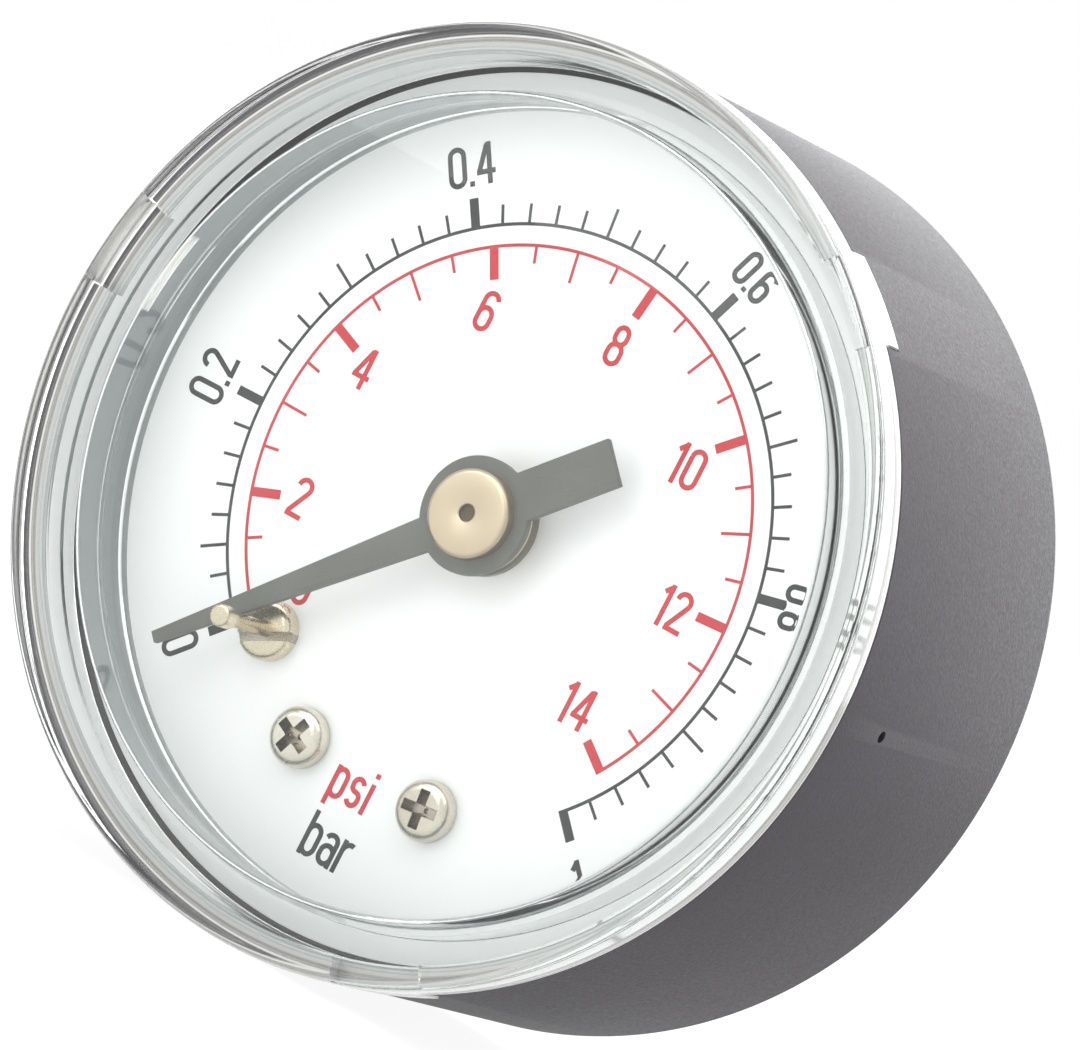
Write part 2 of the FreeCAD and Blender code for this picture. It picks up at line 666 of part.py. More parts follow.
def make_plate_screws():
    screws = []
    for place in pillar_places():
        head = rod(PLATE_SCREW_HEAD_RADIUS, top_plate_front - PLATE_SCREW_HEAD_HEIGHT, top_plate_front, place)
        shank = rod(PLATE_SCREW_RADIUS, top_plate_front, top_plate_front + PLATE_SCREW_LENGTH, place)
        screws.append(head.fuse(shank))
    return Part.makeCompound(screws)


def make_movement_screws():
    screws = [pan_screw(place, bottom_plate_front, MOVEMENT_SCREW_LENGTH, MOVEMENT_SCREW_RADIUS,
                        MOVEMENT_SCREW_HEAD_RADIUS, MOVEMENT_SCREW_HEAD_HEIGHT)
              for place in movement_screw_places()]
    return Part.makeCompound(screws)


# Hairspring

def spiral_edge(offset):
    """Edge of the spiral strip, shifted outwards by an offset."""
    steps = HAIRSPRING_TURNS * SPIRAL_POINTS_PER_TURN
    step_angle = 360.0 / SPIRAL_POINTS_PER_TURN
    growth = (HAIRSPRING_OUTER_RADIUS - STUD_RADIUS - HAIRSPRING_INNER_RADIUS) / steps
    points = []
    for index in range(steps + 1):
        radius = HAIRSPRING_INNER_RADIUS + offset + growth * index
        x, z = clock(radius, STUD_CLOCK + step_angle * index)
        points.append(V(x, hairspring_front, z))
    curve = Part.BSplineCurve()
    curve.interpolate(points)
    return curve.toShape()


def make_hairspring():
    inner = spiral_edge(0.0)
    outer = spiral_edge(HAIRSPRING_STRIP)
    ends = [Part.makeLine(inner.Vertexes[end].Point, outer.Vertexes[end].Point) for end in (0, -1)]
    loop = Part.Wire(Part.__sortEdges__([inner, ends[0], outer, ends[1]]))
    return Part.Face(loop).extrude(V(0, HAIRSPRING_WIDTH, 0))


def make_hairspring_collet():
    body = rod(COLLET_RADIUS, hairspring_front, hairspring_back)
    return body.cut(rod(ARBOR_RADIUS, hairspring_front, hairspring_back))


def make_hairspring_stud():
    place = stud_place()
    return rod(STUD_RADIUS, hairspring_front - STUD_OVERHANG, bottom_plate_back, place)


# Bourdon tube

def tube_section(inset):
    """Flat oval cross-section of the tube, standing in the plane of the gauge axis."""
    half_depth = TUBE_DEPTH / 2 - inset
    half_width = TUBE_WIDTH / 2 - inset
    flat = half_width - half_depth
    front, back = tube_middle - flat, tube_middle + flat
    low, high = TUBE_RADIUS - half_depth, TUBE_RADIUS + half_depth
    edges = [Part.LineSegment(V(low, back, 0), V(low, front, 0)).toShape(),
             Part.Arc(V(low, front, 0), V(TUBE_RADIUS, front - half_depth, 0), V(high, front, 0)).toShape(),
             Part.LineSegment(V(high, front, 0), V(high, back, 0)).toShape(),
             Part.Arc(V(high, back, 0), V(TUBE_RADIUS, back + half_depth, 0), V(low, back, 0)).toShape()]
    return Part.Face(Part.Wire(edges))


def tube_sweep(inset, first, last):
    face = tube_section(inset)
    face.rotate(V(0, 0, 0), V(0, 1, 0), first - 90)
    return face.revolve(V(0, 0, 0), V(0, 1, 0), last - first)


def make_bourdon_tube():
    return tube_sweep(0.0, TUBE_ROOT_CLOCK, TUBE_TIP_CLOCK).cut(
        tube_sweep(TUBE_WALL, TUBE_ROOT_CLOCK, TUBE_TIP_CLOCK))


def make_end_piece():
    """Cap soldered on the free end of the tube, with the lug for the link."""
    inner = TUBE_RADIUS - TUBE_DEPTH / 2 - END_PIECE_WALL
    outer = TUBE_RADIUS + TUBE_DEPTH / 2 + END_PIECE_WALL
    grip_clock = TUBE_TIP_CLOCK - END_PIECE_GRIP_ANGLE
    cap_clock = TUBE_TIP_CLOCK + END_PIECE_CAP_ANGLE
    cap = arc_block(inner, outer, grip_clock, cap_clock, sector_front, tube_back + END_PIECE_WALL)
    middle = clock(TUBE_RADIUS, TUBE_TIP_CLOCK + END_PIECE_CAP_ANGLE / 2)
    lug = strap(middle, tip_pin_place, END_LUG_RADIUS, END_LUG_RADIUS, sector_front, sector_back)
    body = cap.fuse(lug).removeSplitter()
    body = body.cut(tube_sweep(0.0, TUBE_TIP_CLOCK - 2 * END_PIECE_GRIP_ANGLE, TUBE_TIP_CLOCK))
    return body.cut(rod(LINK_PIN_RADIUS, sector_front, sector_back, tip_pin_place))


# Socket

def thread_profile():
    """Corners of the external thread from the sealing shoulder to its free end, as (radius, y)."""
    root = THREAD_RADIUS - THREAD_DEPTH
    slope = (THREAD_PITCH - 2 * THREAD_CREST) / 2
    corners = [(root, 0.0), (root, THREAD_RELIEF)]
    turns = int((THREAD_LENGTH - THREAD_RELIEF) / THREAD_PITCH)
    for index in range(turns):
        start = THREAD_RELIEF + index * THREAD_PITCH
        corners += [(THREAD_RADIUS, start + slope), (THREAD_RADIUS, start + slope + THREAD_CREST),
                    (root, start + 2 * slope + THREAD_CREST), (root, start + THREAD_PITCH)]
    return corners + [(root, THREAD_LENGTH)]


def thread_crests():
    """First and last place of the crests along the gauge axis."""
    crests = [y for radius, y in thread_profile() if radius == THREAD_RADIUS]
    return min(crests), max(crests)


def make_hexagon():
    corner = HEX_ACROSS_FLATS / 2 / math.cos(math.radians(30))
    prism = plate([clock(corner, 30 + 60 * index) for index in range(6)], case_back, 0.0)
    flat = corner - HEX_CHAMFER
    bevel = HEX_CHAMFER * math.tan(math.radians(30))
    blank = turned([(0, case_back), (corner, case_back), (corner, -bevel), (flat, 0.0), (0, 0.0)])
    return prism.common(blank)


def make_socket():
    """Brass socket: stem outside the case, flange, movement boss and tube block inside it."""
    stem_end = THREAD_LENGTH + SPIGOT_LENGTH
    stem = turned([(0, case_back)] + [(THREAD_RADIUS - THREAD_DEPTH, case_back)] + thread_profile()
                  + [(SPIGOT_RADIUS, THREAD_LENGTH), (SPIGOT_RADIUS, stem_end), (0, stem_end)])
    neck = rod(NECK_RADIUS, case_floor, case_back)
    flange_front = case_floor - FLANGE_THICKNESS
    flange = rod(FLANGE_RADIUS, flange_front, case_floor)
    boss = rod(BOSS_RADIUS, bottom_plate_back, flange_front)
    block_front = tube_front - BLOCK_COVER
    side, top, low = BLOCK_HALF_WIDTH, -BLOCK_TOP_DROP, -block_bottom_radius
    block = plate([(-side, top), (side, top), (side, low), (-side, low)], block_front, case_floor)
    root = plate([(-side, 0), (side, 0), (side, top), (-side, top)], flange_front, case_floor)
    posts = [rod(POST_RADIUS, dial_back, case_floor, place) for place in post_places()]
    body = make_hexagon().fuse([stem, neck, flange, boss, block, root, stop_post_foot()] + posts)
    body = body.common(rod(block_bottom_radius, dial_back, stem_end)).removeSplitter()
    return body.cut(socket_cuts(stem_end, flange_front))


def stop_post_foot():
    """Arm of the flange that reaches under the third post."""
    flange_front = case_floor - FLANGE_THICKNESS
    return strap(gauge_axis, stop_place(), POST_ARM_ROOT_RADIUS, POST_RADIUS, flange_front, case_floor)


def socket_cuts(stem_end, flange_front):
    passage_y = (flange_front + case_floor) / 2
    inlet = clock(TUBE_RADIUS, TUBE_ROOT_CLOCK - math.degrees(PASSAGE_RADIUS / 2 / TUBE_RADIUS))
    cuts = [rod(STEM_BORE_RADIUS, passage_y, stem_end)]
    outwards = V(inlet[0], 0, inlet[1])
    cuts.append(Part.makeCylinder(PASSAGE_RADIUS, outwards.Length, V(0, passage_y, 0), outwards))
    cuts.append(rod(PASSAGE_RADIUS, tube_middle, passage_y, inlet))
    cuts.append(tube_sweep(0.0, TUBE_ROOT_CLOCK, TUBE_ROOT_CLOCK + 90))
    for place in post_places():
        cuts.append(rod(DIAL_SCREW_RADIUS, dial_back, dial_face + DIAL_SCREW_LENGTH, place))
    for place in movement_screw_places():
        tapped_back = bottom_plate_front + MOVEMENT_SCREW_LENGTH
        cuts.append(rod(MOVEMENT_SCREW_RADIUS, bottom_plate_back, tapped_back, place))
    for place in case_screw_places():
        cuts.append(rod(CASE_SCREW_RADIUS, case_back - CASE_SCREW_LENGTH, case_floor, place))
    return cuts


def make_restrictor():
    """Small plug in the stem bore that damps pressure pulses through a fine hole."""
    back = THREAD_LENGTH + SPIGOT_LENGTH - RESTRICTOR_INSET
    front = back - RESTRICTOR_LENGTH
    plug = rod(STEM_BORE_RADIUS, front, back)
    half = RESTRICTOR_SLOT_WIDTH / 2
    side = STEM_BORE_RADIUS * 2
    slot = slot_cut(side, half, back - RESTRICTOR_SLOT_DEPTH, back, gauge_axis, 90.0)
    return plug.cut([rod(RESTRICTOR_HOLE_RADIUS, front, back), slot])


PIECES = {
    "case": make_case,
    "lens": make_lens,
    "case_screws": make_case_screws,
    "dial": make_dial,
    "dial_screws": make_dial_screws,
    "stop_post": make_stop_post,
    "pointer": make_pointer,
    "pointer_hub": make_pointer_hub,
    "pinion": make_pinion,
    "sector_gear": make_sector_gear,
    "sector_arbor": make_sector_arbor,
    "link": make_link,
    "link_tail_pin": lambda: link_pin(tail_pin_place, sector_back),
    "link_tip_pin": lambda: link_pin(tip_pin_place, sector_back),
    "top_plate": make_top_plate,
    "bottom_plate": make_bottom_plate,
    "pillars": make_pillars,
    "plate_screws": make_plate_screws,
    "movement_screws": make_movement_screws,
    "hairspring": make_hairspring,
    "hairspring_collet": make_hairspring_collet,
    "hairspring_stud": make_hairspring_stud,
    "bourdon_tube": make_bourdon_tube,
    "tube_end_piece": make_end_piece,
    "socket": make_socket,
    "restrictor": make_restrictor,
}

os.makedirs("parts", exist_ok=True)
for name, make in PIECES.items():
    shape = make()
    print(name, len(shape.Solids), "solids", round(shape.Volume, 3), "mm3", shape.isValid())
    shape.exportStep("parts/" + name + ".step")

print("sector pivot", sector_pivot)
print("tail pin", tail_pin_place)
print("tip pin", tip_pin_place)
print("tube tip travel", tip_travel, "towards clock angle", travel_clock)
print("sector swing", sector_swing)
print("thread crests", thread_crests())
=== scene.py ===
# %% [markdown]
# # A pressure gauge for a pool filter
# The real gauge is a black plastic cup with a clear snap-on lens, a printed white dial and a matt black
# pointer on a brass bush. Behind the dial a curved tube straightens under pressure and turns the pointer
# through a link, a toothed sector and a pinion. The engineering model holds every piece at its real size.
# This lesson dresses it: visible pieces are modelled again with soft edges, hidden ones get finishes.

# %% Load the frame
import json
import math
import bmesh
import bpy
from mathutils import Matrix, Vector

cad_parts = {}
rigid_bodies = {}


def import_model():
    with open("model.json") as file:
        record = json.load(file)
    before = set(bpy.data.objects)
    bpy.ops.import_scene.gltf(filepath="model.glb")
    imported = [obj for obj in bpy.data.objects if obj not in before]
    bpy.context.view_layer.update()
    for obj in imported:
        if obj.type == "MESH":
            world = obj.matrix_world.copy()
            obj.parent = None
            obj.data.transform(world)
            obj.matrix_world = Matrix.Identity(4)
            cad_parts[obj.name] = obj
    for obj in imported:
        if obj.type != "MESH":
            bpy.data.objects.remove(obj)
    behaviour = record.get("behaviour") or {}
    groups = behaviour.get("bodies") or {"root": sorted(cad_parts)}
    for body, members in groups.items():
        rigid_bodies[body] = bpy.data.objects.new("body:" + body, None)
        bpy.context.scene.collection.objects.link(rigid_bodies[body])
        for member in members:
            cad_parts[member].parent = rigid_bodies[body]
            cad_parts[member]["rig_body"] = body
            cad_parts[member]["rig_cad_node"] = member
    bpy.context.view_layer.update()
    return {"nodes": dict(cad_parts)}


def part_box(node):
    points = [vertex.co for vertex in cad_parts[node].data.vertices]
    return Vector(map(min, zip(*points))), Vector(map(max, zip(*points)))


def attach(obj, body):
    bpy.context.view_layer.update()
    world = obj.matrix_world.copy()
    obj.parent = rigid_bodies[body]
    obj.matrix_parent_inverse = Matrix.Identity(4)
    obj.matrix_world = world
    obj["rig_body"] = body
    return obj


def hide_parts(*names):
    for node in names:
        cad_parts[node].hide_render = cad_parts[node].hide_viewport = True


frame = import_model()
nodes = frame["nodes"]

# %% [markdown]
# ## Sizes
# Blender works in metres. Most planes and radii are read from the frame's own boxes, so that a new piece
# lands exactly where the engineering model has it. A few inner sizes can't be read from a box, such as
# the wall of the case, and are named here in millimetres.

# %% Planes and radii read from the frame
MM = 0.001
dial_low, dial_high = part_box("dial")
case_low, case_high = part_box("case")
lens_low, lens_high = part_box("lens")
pointer_low, pointer_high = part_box("pointer")
hub_low, hub_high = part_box("pointer_hub")
socket_low, socket_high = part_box("socket")
screw_low, screw_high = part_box("dial_screws")
stop_low, stop_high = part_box("stop_post")
rear_low, rear_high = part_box("case_screws")
dial_face = dial_low.y
case_rim = case_low.y
case_back = case_high.y
case_radius = case_high.x
print("dial face at y =", round(dial_face / MM, 3), "mm, case radius", round(case_radius / MM, 3), "mm")

# %% Inner sizes that a box doesn't give
CASE_BORE = 23.7 * MM
CASE_FLOOR = 2.0 * MM
CASE_BACK_ROUND = 0.8 * MM
NECK_HOLE = 8.3 * MM
WINDOW_THICKNESS = 1.65 * MM
SKIRT_OUTER = 23.6 * MM
SKIRT_BORE = 21.6 * MM
SKIRT_STEP = 0.35 * MM
SKIRT_STEP_HEIGHT = 3.2 * MM
LENS_SEAT_GAP = 0.05 * MM
LENS_CORNER_ROUND = 0.5 * MM
SNAP_HEIGHT = 2.4 * MM
SNAP_BEAD = 0.3 * MM
SNAP_CLEARANCE = 0.05 * MM
LUG_CLOCKS = (39.0, 159.0, 279.0)
LUG_HALF_ANGLE = 6.0
LUG_DEPTH = 1.4 * MM
LUG_CLEARANCE = 0.1 * MM
LUG_CORNER = 0.6 * MM
VENT_HEIGHT = -0.1 * MM
VENT_RADIUS = 0.33 * MM
VENT_DEPTH = 1.1 * MM
seat_y = case_rim - LENS_SEAT_GAP
lug_end = case_rim + LUG_DEPTH

# %% [markdown]
# ## Working by hand, in code
# A modeller in the window adds a primitive, goes into edit mode, picks some edges or faces, and extrudes
# or bevels them. The helpers below do the same with operators. Everything is deselected before a
# primitive is added, because operators act on all that is selected.

# %% Helpers for primitives, picking and placing
SMOOTH_ANGLE = math.radians(32)
CLOSE = 1e-6


def clock(radius, degrees, middle=(0.0, 0.0)):
    """Place in the plane of the dial, as (x, z), at a radius and an angle clockwise from the top."""
    turn = math.radians(degrees)
    return (middle[0] + radius * math.sin(turn), middle[1] + radius * math.cos(turn))


def start_clean():
    if bpy.context.mode != "OBJECT":
        bpy.ops.object.mode_set(mode="OBJECT")
    bpy.ops.object.select_all(action="DESELECT")


def name_new(name):
    """Names the object that an operator has just added, and its mesh."""
    piece = bpy.context.object
    piece.name = name
    piece.data.name = name
    return piece


def activate(piece):
    start_clean()
    piece.select_set(True)
    bpy.context.view_layer.objects.active = piece


def settle(piece):
    """Moves a piece's place, turn and size into its mesh, so that its object sits at the origin."""
    activate(piece)
    bpy.ops.object.transform_apply(location=True, rotation=True, scale=True)
    return piece


def pick(piece, kind, test):
    """In edit mode, selects the verts, edges or faces whose corners all pass a test."""
    bpy.context.tool_settings.mesh_select_mode = (kind == "verts", kind == "edges", kind == "faces")
    bpy.ops.mesh.select_all(action="DESELECT")
    mesh = bmesh.from_edit_mesh(piece.data)
    for item in getattr(mesh, kind):
        corners = [item.co] if kind == "verts" else [vert.co for vert in item.verts]
        if all(test(corner) for corner in corners):
            item.select_set(True)
    bmesh.update_edit_mesh(piece.data)


def on_ring(radius, y, middle=(0.0, 0.0)):
    """Test for a corner that lies on a circle round an axis that runs along Y."""
    def test(corner):
        reach = math.hypot(corner.x - middle[0], corner.z - middle[1])
        return abs(reach - radius) < 2 * CLOSE and abs(corner.y - y) < 2 * CLOSE
    return test


def soften(piece, test, width, segments):
    """Bevels the edges that pass a test."""
    activate(piece)
    bpy.ops.object.mode_set(mode="EDIT")
    pick(piece, "edges", test)
    bpy.ops.mesh.bevel(offset=width, segments=segments, affect="EDGES", clamp_overlap=True)
    bpy.ops.object.mode_set(mode="OBJECT")


def outward(piece):
    """Merges doubled corners, drops loose edges and turns every face outwards."""
    activate(piece)
    bpy.ops.object.mode_set(mode="EDIT")
    bpy.ops.mesh.select_mode(type="VERT")
    bpy.ops.mesh.select_all(action="SELECT")
    bpy.ops.mesh.remove_doubles(threshold=CLOSE)
    bpy.ops.mesh.delete_loose()
    bpy.ops.mesh.select_all(action="SELECT")
    bpy.ops.mesh.normals_make_consistent(inside=False)
    bpy.ops.object.mode_set(mode="OBJECT")
    return piece


def combine(piece, tool, operation):
    """Joins, cuts or keeps the common part of two closed meshes, and removes the tool."""
    change = piece.modifiers.new(operation.lower(), "BOOLEAN")
    change.object = tool
    change.operation = operation
    change.solver = "EXACT"
    activate(piece)
    bpy.ops.object.modifier_apply(modifier=change.name)
    bpy.data.objects.remove(tool)
    return piece


def joined(name, pieces):
    """Puts several objects into one mesh."""
    activate(pieces[0])
    for piece in pieces[1:]:
        piece.select_set(True)
    bpy.ops.object.join()
    return name_new(name)


def fused(piece):
    """Unites closed shells that overlap in one mesh, so that no face is left inside another."""
    activate(piece)
    bpy.ops.object.mode_set(mode="EDIT")
    bpy.ops.mesh.select_all(action="SELECT")
    bpy.ops.mesh.intersect_boolean(operation="UNION", use_self=True, solver="EXACT")
    bpy.ops.object.mode_set(mode="OBJECT")
    return piece


# %% [markdown]
# ## Turned pieces
# The case, the lens, the dial, the bush and the screw heads are all turned shapes. By hand they could be
# a profile that is spun, or a circle that is extruded and resized from one corner of the profile to the
# next. The second way keeps even, clean rings that bevel well, so it is used here.

# %% Helper that turns a profile
def turned(name, corners, hole=False, segments=240):
    """Circle extruded from one (radius, y) corner to the next. With a hole, the last corner is the first."""
    radius, y = corners[0]
    start_clean()
    bpy.ops.mesh.primitive_circle_add(vertices=segments, radius=radius, location=(0, y, 0),
                                      fill_type="NOTHING" if hole else "NGON", rotation=(math.radians(90), 0, 0))
    piece = settle(name_new(name))
    bpy.ops.object.mode_set(mode="EDIT")
    bpy.ops.mesh.select_all(action="SELECT")
    for next_radius, next_y in corners[1:]:
        bpy.ops.mesh.extrude_region_move(TRANSFORM_OT_translate={"value": (0, next_y - y, 0)})
        growth = next_radius / radius
        bpy.ops.transform.resize(value=(growth, 1, growth), center_override=(0, next_y, 0))
        radius, y = next_radius, next_y
    bpy.ops.object.mode_set(mode="OBJECT")
    return outward(piece)


def arc_block(name, inner, outer, front, back, middle, half_angle, steps=8):
    """Part of a ring: a flat square of the section is spun round the gauge axis."""
    start_clean()
    bpy.ops.mesh.primitive_plane_add(size=1, location=(0, (front + back) / 2, (inner + outer) / 2),
                                     rotation=(0, math.radians(90), 0))
    piece = name_new(name)
    piece.scale = (outer - inner, back - front, 1)
    settle(piece)
    piece.rotation_euler = (0, math.radians(middle - half_angle), 0)
    settle(piece)
    bpy.ops.object.mode_set(mode="EDIT")
    bpy.ops.mesh.select_all(action="SELECT")
    bpy.ops.mesh.spin(steps=steps, angle=math.radians(2 * half_angle), center=(0, 0, 0), axis=(0, -1, 0))
    bpy.ops.object.mode_set(mode="OBJECT")
    return outward(piece)


def rod(name, radius, front, back, middle=(0.0, 0.0), segments=48):
    """Round bar along Y."""
    start_clean()
    bpy.ops.mesh.primitive_cylinder_add(vertices=segments, radius=radius, depth=back - front,
                                        location=(middle[0], (front + back) / 2, middle[1]),
                                        rotation=(math.radians(90), 0, 0))
    return settle(name_new(name))

# %% [markdown]
# ## Finishes
# A finish is a set of nodes that vary colour, roughness and height over the surface, so that light breaks
# up as it does on a moulded, printed or machined face. Effects that several finishes share are node
# groups, built once: a fine grain, a slow cloudiness, the rings that a lathe leaves and worn edges.

# %% Helpers for node trees
def srgb(red, green, blue):
    """Linear colour from the 0 to 255 values that a screen shows."""
    parts = []
    for value in (red, green, blue):
        share = value / 255
        parts.append(share / 12.92 if share <= 0.04045 else ((share + 0.055) / 1.055) ** 2.4)
    return (*parts, 1.0)


def add(tree, kind, label="", **values):
    """Adds a node. Values are set on its sockets by name, with _ for a space, or else on the node."""
    node = tree.nodes.new(kind)
    node.label = label
    for key, value in values.items():
        socket = node.inputs.get(key.replace("_", " "))
        if socket is not None:
            socket.default_value = value
        else:
            setattr(node, key, value)
    return node


def group_of(name, inputs, outputs):
    """Empty node group with float inputs given as (name, value, low, high), and its outputs by type."""
    tree = bpy.data.node_groups.new(name, "ShaderNodeTree")
    for label, value, low, high in inputs:
        socket = tree.interface.new_socket(name=label, in_out="INPUT", socket_type="NodeSocketFloat")
        socket.default_value = value
        socket.min_value = low
        socket.max_value = high
    for label in outputs:
        tree.interface.new_socket(name=label, in_out="OUTPUT", socket_type="NodeSocketFloat")
    source = tree.nodes.new("NodeGroupInput")
    sink = tree.nodes.new("NodeGroupOutput")
    return tree, source.outputs, sink.inputs


def remap(tree, value, low, high, start=0.0, end=1.0):
    """Maps a value that runs from start to end onto low to high."""
    node = add(tree, "ShaderNodeMapRange")
    node.inputs["From Min"].default_value = start
    node.inputs["From Max"].default_value = end
    node.inputs["To Min"].default_value = low
    node.inputs["To Max"].default_value = high
    tree.links.new(value, node.inputs["Value"])
    return node.outputs["Result"]


# %% Node group for grain and cloudiness
def make_grain():
    """Fine noise and slow noise over the surface, both from 0 to 1."""
    tree, given, result = group_of("surface_grain", [("Fine Scale", 9000, 1, 60000), ("Slow Scale", 120, 1, 5000)],
                                   ["Fine", "Slow"])
    place = add(tree, "ShaderNodeTexCoord")
    fine = add(tree, "ShaderNodeTexNoise", "fine grain", Detail=3.0, Roughness=0.6)
    slow = add(tree, "ShaderNodeTexNoise", "slow clouds", Detail=2.0, Roughness=0.5)
    for node, scale, out in ((fine, "Fine Scale", "Fine"), (slow, "Slow Scale", "Slow")):
        tree.links.new(place.outputs["Object"], node.inputs["Vector"])
        tree.links.new(given[scale], node.inputs["Scale"])
        tree.links.new(remap(tree, node.outputs["Fac"], 0, 1, 0.3, 0.7), result[out])
    return tree


grain_group = make_grain()
print("group:", grain_group.name)


# %% [markdown]
# A turned face carries fine rings round the axis of the lathe. The distance from that axis, stretched by
# a scale and fed to a noise with one dimension, gives rings of uneven depth. The axis is set by two
# inputs, because screws and pins are turned round their own axes.

# %% Node group for turning marks
def make_rings():
    """Rings from 0 to 1 round an axis along Y through (Axis X, Axis Z), and the distance from it."""
    tree, given, result = group_of("turning_rings", [("Axis X", 0, -1, 1), ("Axis Z", 0, -1, 1),
                                   ("Ring Scale", 16000, 1, 90000)], ["Rings", "Reach"])
    place = add(tree, "ShaderNodeTexCoord")
    apart = add(tree, "ShaderNodeSeparateXYZ")
    tree.links.new(place.outputs["Object"], apart.inputs["Vector"])
    squares = []
    for side, centre in (("X", "Axis X"), ("Z", "Axis Z")):
        offset = add(tree, "ShaderNodeMath", operation="SUBTRACT")
        tree.links.new(apart.outputs[side], offset.inputs[0])
        tree.links.new(given[centre], offset.inputs[1])
        square = add(tree, "ShaderNodeMath", operation="MULTIPLY")
        tree.links.new(offset.outputs[0], square.inputs[0])
        tree.links.new(offset.outputs[0], square.inputs[1])
        squares.append(square)
    total = add(tree, "ShaderNodeMath", operation="ADD")
    for index, square in enumerate(squares):
        tree.links.new(square.outputs[0], total.inputs[index])
    radius = add(tree, "ShaderNodeMath", operation="SQRT")
    tree.links.new(total.outputs[0], radius.inputs[0])
    rings = add(tree, "ShaderNodeTexNoise", "rings", noise_dimensions="1D", Detail=2.0)
    tree.links.new(radius.outputs[0], rings.inputs["W"])
    tree.links.new(given["Ring Scale"], rings.inputs["Scale"])
    tree.links.new(remap(tree, rings.outputs["Fac"], 0, 1, 0.3, 0.7), result["Rings"])
    tree.links.new(radius.outputs[0], result["Reach"])
    return tree


ring_group = make_rings()
print("group:", ring_group.name)


# %% Helper that starts a finish
class Finish:
    """A material with its shader, a height that gathers bumps, and short ways to wire them."""

    def __init__(self, name, colour, **constants):
        self.material = bpy.data.materials.new(name)
        self.material.use_nodes = True
        self.material.diffuse_color = colour
        self.tree = self.material.node_tree
        self.shader = self.tree.nodes["Principled BSDF"]
        self.shader.inputs["Base Color"].default_value = colour
        self.colour = colour
        for key, value in constants.items():
            self.shader.inputs[key.replace("_", " ")].default_value = value

    def group(self, tree, **values):
        node = self.tree.nodes.new("ShaderNodeGroup")
        node.node_tree = tree
        for key, value in values.items():
            node.inputs[key.replace("_", " ")].default_value = value
        return node.outputs

    def tint(self, mask, other):
        """Mixes the colour so far with another where the mask is high. A mix node's colours are sockets 6 and 7."""
        mix = add(self.tree, "ShaderNodeMix", data_type="RGBA")
        target = self.shader.inputs["Base Color"]
        mix.inputs[6].default_value = self.colour
        if target.is_linked:
            self.tree.links.new(target.links[0].from_socket, mix.inputs[6])
        mix.inputs[7].default_value = other
        self.tree.links.new(mask, mix.inputs[0])
        self.tree.links.new(mix.outputs[2], target)

    def maths(self, operation, first, second):
        """Combines a value with another value or a number."""
        node = add(self.tree, "ShaderNodeMath", operation=operation)
        self.tree.links.new(first, node.inputs[0])
        if isinstance(second, float):
            node.inputs[1].default_value = second
        else:
            self.tree.links.new(second, node.inputs[1])
        return node.outputs[0]

    def along_axis(self):
        """Place along the gauge axis, from the Object coordinates."""
        place = add(self.tree, "ShaderNodeTexCoord")
        apart = add(self.tree, "ShaderNodeSeparateXYZ")
        self.tree.links.new(place.outputs["Object"], apart.inputs["Vector"])
        return apart.outputs["Y"]

    def between(self, value, low, high):
        """1 where a value lies between two others, and 0 elsewhere."""
        return self.maths("MULTIPLY", self.maths("GREATER_THAN", value, low), self.maths("LESS_THAN", value, high))

    def vary(self, socket, mask, low, high):
        self.tree.links.new(remap(self.tree, mask, low, high), self.shader.inputs[socket])

    def bump(self, height, distance, strength=1.0):
        """Height from 0 to 1, raised by a distance in metres, on top of any earlier bump."""
        node = add(self.tree, "ShaderNodeBump", Strength=strength, Distance=distance)
        self.tree.links.new(height, node.inputs["Height"])
        target = self.shader.inputs["Normal"]
        if target.is_linked:
            self.tree.links.new(target.links[0].from_socket, node.inputs["Normal"])
        self.tree.links.new(node.outputs["Normal"], target)


# %% [markdown]
# ## Plastics
# The cup is black plastic from a mould with a finely etched surface, so its gloss is low and uneven. The
# lens is clear plastic with a frosted grip round its outer wall, where its roughness rises with the
# distance from the axis. Light has to reach the dial through it, so lamps see it as plain transparent.

# %% Black plastic of the case
BORE_MARGIN = 0.4 * MM


def black_plastic():
    """Etched outside. In front of the dial the bore is painted paler, as painted light where it shows through the
    skirt of the lens.
    """
    finish = Finish("black_plastic", srgb(52, 49, 54), IOR=1.5, Specular_IOR_Level=0.32)
    grain = finish.group(grain_group, Fine_Scale=5200, Slow_Scale=110)
    finish.tint(grain["Slow"], srgb(57, 54, 60))
    # Painted light: the bore in front of the dial gets a pale grey tint in place of the light that falls into it.
    inside = finish.maths("LESS_THAN", finish.group(ring_group)["Reach"], CASE_BORE + BORE_MARGIN)
    inside = finish.maths("MULTIPLY", inside, finish.maths("LESS_THAN", finish.along_axis(), dial_face))
    finish.tint(inside, srgb(118, 127, 129))
    finish.vary("Roughness", grain["Fine"], 0.45, 0.62)
    finish.bump(grain["Fine"], 0.014 * MM, 0.6)
    return finish.material


# %% Clear plastic of the lens
FROST_START = 24.75 * MM
FROST_FULL = 24.95 * MM
FROSTING = 0.13
SKIRT_HAZE = 0.06
LUG_MILK = 0.45
GROUND_MILK = (0.0, 0.65)
GROUND_REACH = 24.75 * MM
GROUND_RING_SCALE = 5200
DRAW_LINE_SCALE = 1500
DRAW_LINE_DEPTH = 0.015 * MM
THIN_SHELL = 0.03 * MM


